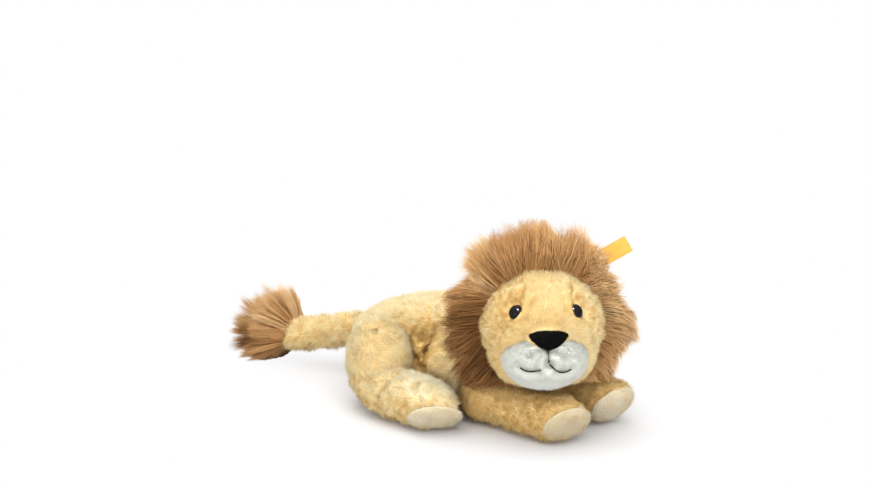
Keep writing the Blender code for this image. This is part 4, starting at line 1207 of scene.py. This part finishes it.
def tassel(name, count, bunches, seed):
    """A brush: locks stand out round the seam and lie along the tail at its tip."""
    dice = np.random.default_rng(seed)

    def starts(number):
        down = dice.uniform(0, 1, number) ** 1.2
        around = dice.uniform(0, 2 * math.pi, number)
        ring = np.stack([np.cos(around), 0 * around, np.sin(around)], 1)
        spread = (15 + 44 * np.maximum(ring[:, 2], 0) + 34 * np.maximum(-ring[:, 2], 0)
                  - 12 * np.maximum(ring[:, 0], 0))
        lean = np.radians(spread) * (1 - 0.6 * down) + np.radians(4)
        way = ring * np.sin(lean)[:, None] + np.array((0, 1, 0)) * np.cos(lean)[:, None]
        thick = 0.0146 * np.sqrt(1 - down ** 3)
        root = tail_middle(TASSEL_START - 0.003 - SEAM_SLANT * thick * ring[:, 2] + 0.028 * down)
        root = root + ring * thick[:, None]
        return root, way, down

    lock_root, lock_way, lock_down = starts(bunches)
    lock_way = unit(lock_way + 0.20 * dice.normal(size=lock_way.shape))
    lock_length = 0.028 + 0.002 * lock_down + 0.004 * dice.normal(size=bunches)
    roots, ways, down = starts(count)
    near = np.argmin(np.linalg.norm((roots + 0.02 * ways)[:, None]
                                    - (lock_root + 0.02 * lock_way)[None], axis=2), axis=1)
    cling = dice.uniform(0.20, 0.80, (count, 1))
    own = roots + ways * (0.027 * dice.uniform(0.75, 1.1, count))[:, None]
    lock_tip = (lock_root + lock_way * lock_length[:, None])[near]
    tips = own * (1 - cling) + lock_tip * cling + dice.normal(size=(count, 3)) * 0.0012
    pull = roots + ways * 0.014 + dice.normal(size=(bunches, 3))[near] * 0.0025
    paths = bezier(roots - ways * 0.002, pull, tips, 4)
    paths[..., 2] = np.maximum(paths[..., 2], 0.0005)
    widths = tapered(dice, count, 0.0004, 0.0008)
    tone = 0.74 + 0.10 * dice.normal(size=bunches)[near] + 0.09 * dice.normal(size=count)
    tone = tone - 0.6 * np.exp(-((roots - np.array((-0.034, 0.138, 0.020))) ** 2).sum(1)
                                 / 0.010 ** 2)
    soft = unit(roots - tail_middle(0.125) + np.array((0, 0, 0.010)))
    piece = fibres(name, paths, widths, tone, seed + 1, soft)
    return dressed(piece, "tail", "brown_long_pile", brown_pile, "tail_tassel")


TASSEL_FIBRES, TASSEL_LOCKS = 9800, 150
tassel("tassel_hair", TASSEL_FIBRES, TASSEL_LOCKS, 951)

# %% [markdown]
# ## What stays hidden
# The washers that lock the eyes are inside the head. They keep their solids and
# get the finish of moulded plastic.

# %% Washers
washer_finish, tree, shader = new_finish("moulded_washer", {
    "Base Color": (0.75, 0.75, 0.72, 1), "Roughness": 0.45})
grain = on_object(tree, "TexNoise", {"Scale": 900})
toned(tree, grain, 0, ((0.3, (0.70, 0.70, 0.67)), (0.7, (0.79, 0.79, 0.76))), shader)
relieved(tree, grain, 0, shader, 0.0002)
for label in ("right", "left"):
    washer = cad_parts["eye_washer_" + label]
    washer.data.materials.clear()
    washer.data.materials.append(washer_finish)

# %% [markdown]
# ## The studio
# A pale floor that fades to white, one wide soft lamp overhead, two in front,
# high and low, a small one for the glint in the eyes, and an even pale sky.

# %% Floor
FLOOR_RADIUS = 9
floor_finish, tree, shader = new_finish("studio_floor", {
    "Base Color": (0.68, 0.68, 0.69, 1), "Roughness": 1.0, "Specular IOR Level": 0.0})
bpy.ops.mesh.primitive_circle_add(vertices=96, radius=FLOOR_RADIUS, fill_type='NGON')
floor = bpy.context.object
floor.name = "studio_floor"
shift = on_object(tree, "VectorMath", {1: (0.03, 0.09, 0)}, operation='ADD')
far = add_node(tree, "VectorMath", operation='LENGTH')
scaled = add_node(tree, "Math", {1: 1 / FLOOR_RADIUS}, operation='MULTIPLY')
fade = ramp_node(tree, ((0.0135, (0, 0, 0)), (0.0255, (1, 1, 1))))
seen = add_node(tree, "LightPath")
gate = add_node(tree, "Math", operation='MULTIPLY')
glow = add_node(tree, "Emission", {"Color": (1, 1, 1, 1)})
blend = add_node(tree, "MixShader")
wire(tree, (shift, 0, far, 0), (far, "Value", scaled, 0), (scaled, 0, fade, 0),
     (fade, 0, gate, 0), (seen, "Is Camera Ray", gate, 1), (gate, 0, blend, 0),
     (shader, 0, blend, 1), (glow, 0, blend, 2),
     (blend, 0, tree.nodes["Material Output"], "Surface"))
floor.data.materials.append(floor_finish)

# %% Lamps and sky
def soft_lamp(name, place, size, power):
    bpy.ops.object.light_add(type='AREA', location=place)
    lamp = bpy.context.object
    lamp.name = name
    lamp.data.shape, lamp.data.size, lamp.data.energy = 'DISK', size, power
    lamp.rotation_euler = (Vector(place) - LIT_PLACE).to_track_quat('Z', 'Y').to_euler()
    return lamp


def by_camera(aside, near, up):
    """A place as seen from the camera: to its right, towards it, and up."""
    return right * aside + back * near + Vector((0, 0, up))


LIT_PLACE = Vector((0, 0, 0.06))
soft_lamp("overhead_lamp", (-0.15, 0.12, 1.5), 1.0, 6)
soft_lamp("front_lamp", by_camera(0.25, 1.0, 0.9), 0.7, 4)
soft_lamp("fill_lamp", by_camera(0.5, 1.3, -0.2), 0.9, 4)
soft_lamp("side_lamp", by_camera(-0.7, 1.2, -0.1), 0.8, 3)
glint = soft_lamp("glint_lamp", by_camera(0, 0.6, 1.0), 0.3, 75)
lit = bpy.data.collections.new("eyes_that_glint")
for label in ("right", "left"):
    lit.objects.link(bpy.data.objects["eye_%s_dome" % label])
glint.light_linking.receiver_collection = lit
SKY, MIRRORED_SKY = 1.32, 0.30
world = bpy.data.worlds.new("pale_sky")
bpy.context.scene.world = world
world.use_nodes = True
tree = world.node_tree
light = tree.nodes["Background"]
set_inputs(light, {"Color": (1, 1, 1, 1)})
white = add_node(tree, "Background", {"Color": (1, 1, 1, 1), "Strength": 1})
seen = add_node(tree, "LightPath")
dim = add_node(tree, "Math", {1: MIRRORED_SKY - SKY, 2: SKY}, operation='MULTIPLY_ADD')
pick = add_node(tree, "MixShader")
wire(tree, (seen, "Is Glossy Ray", dim, 0), (dim, 0, light, "Strength"),
     (seen, "Is Camera Ray", pick, 0), (light, 0, pick, 1), (white, 0, pick, 2),
     (pick, 0, tree.nodes["World Output"], "Surface"))
bpy.context.scene.view_settings.view_transform = 'Standard'
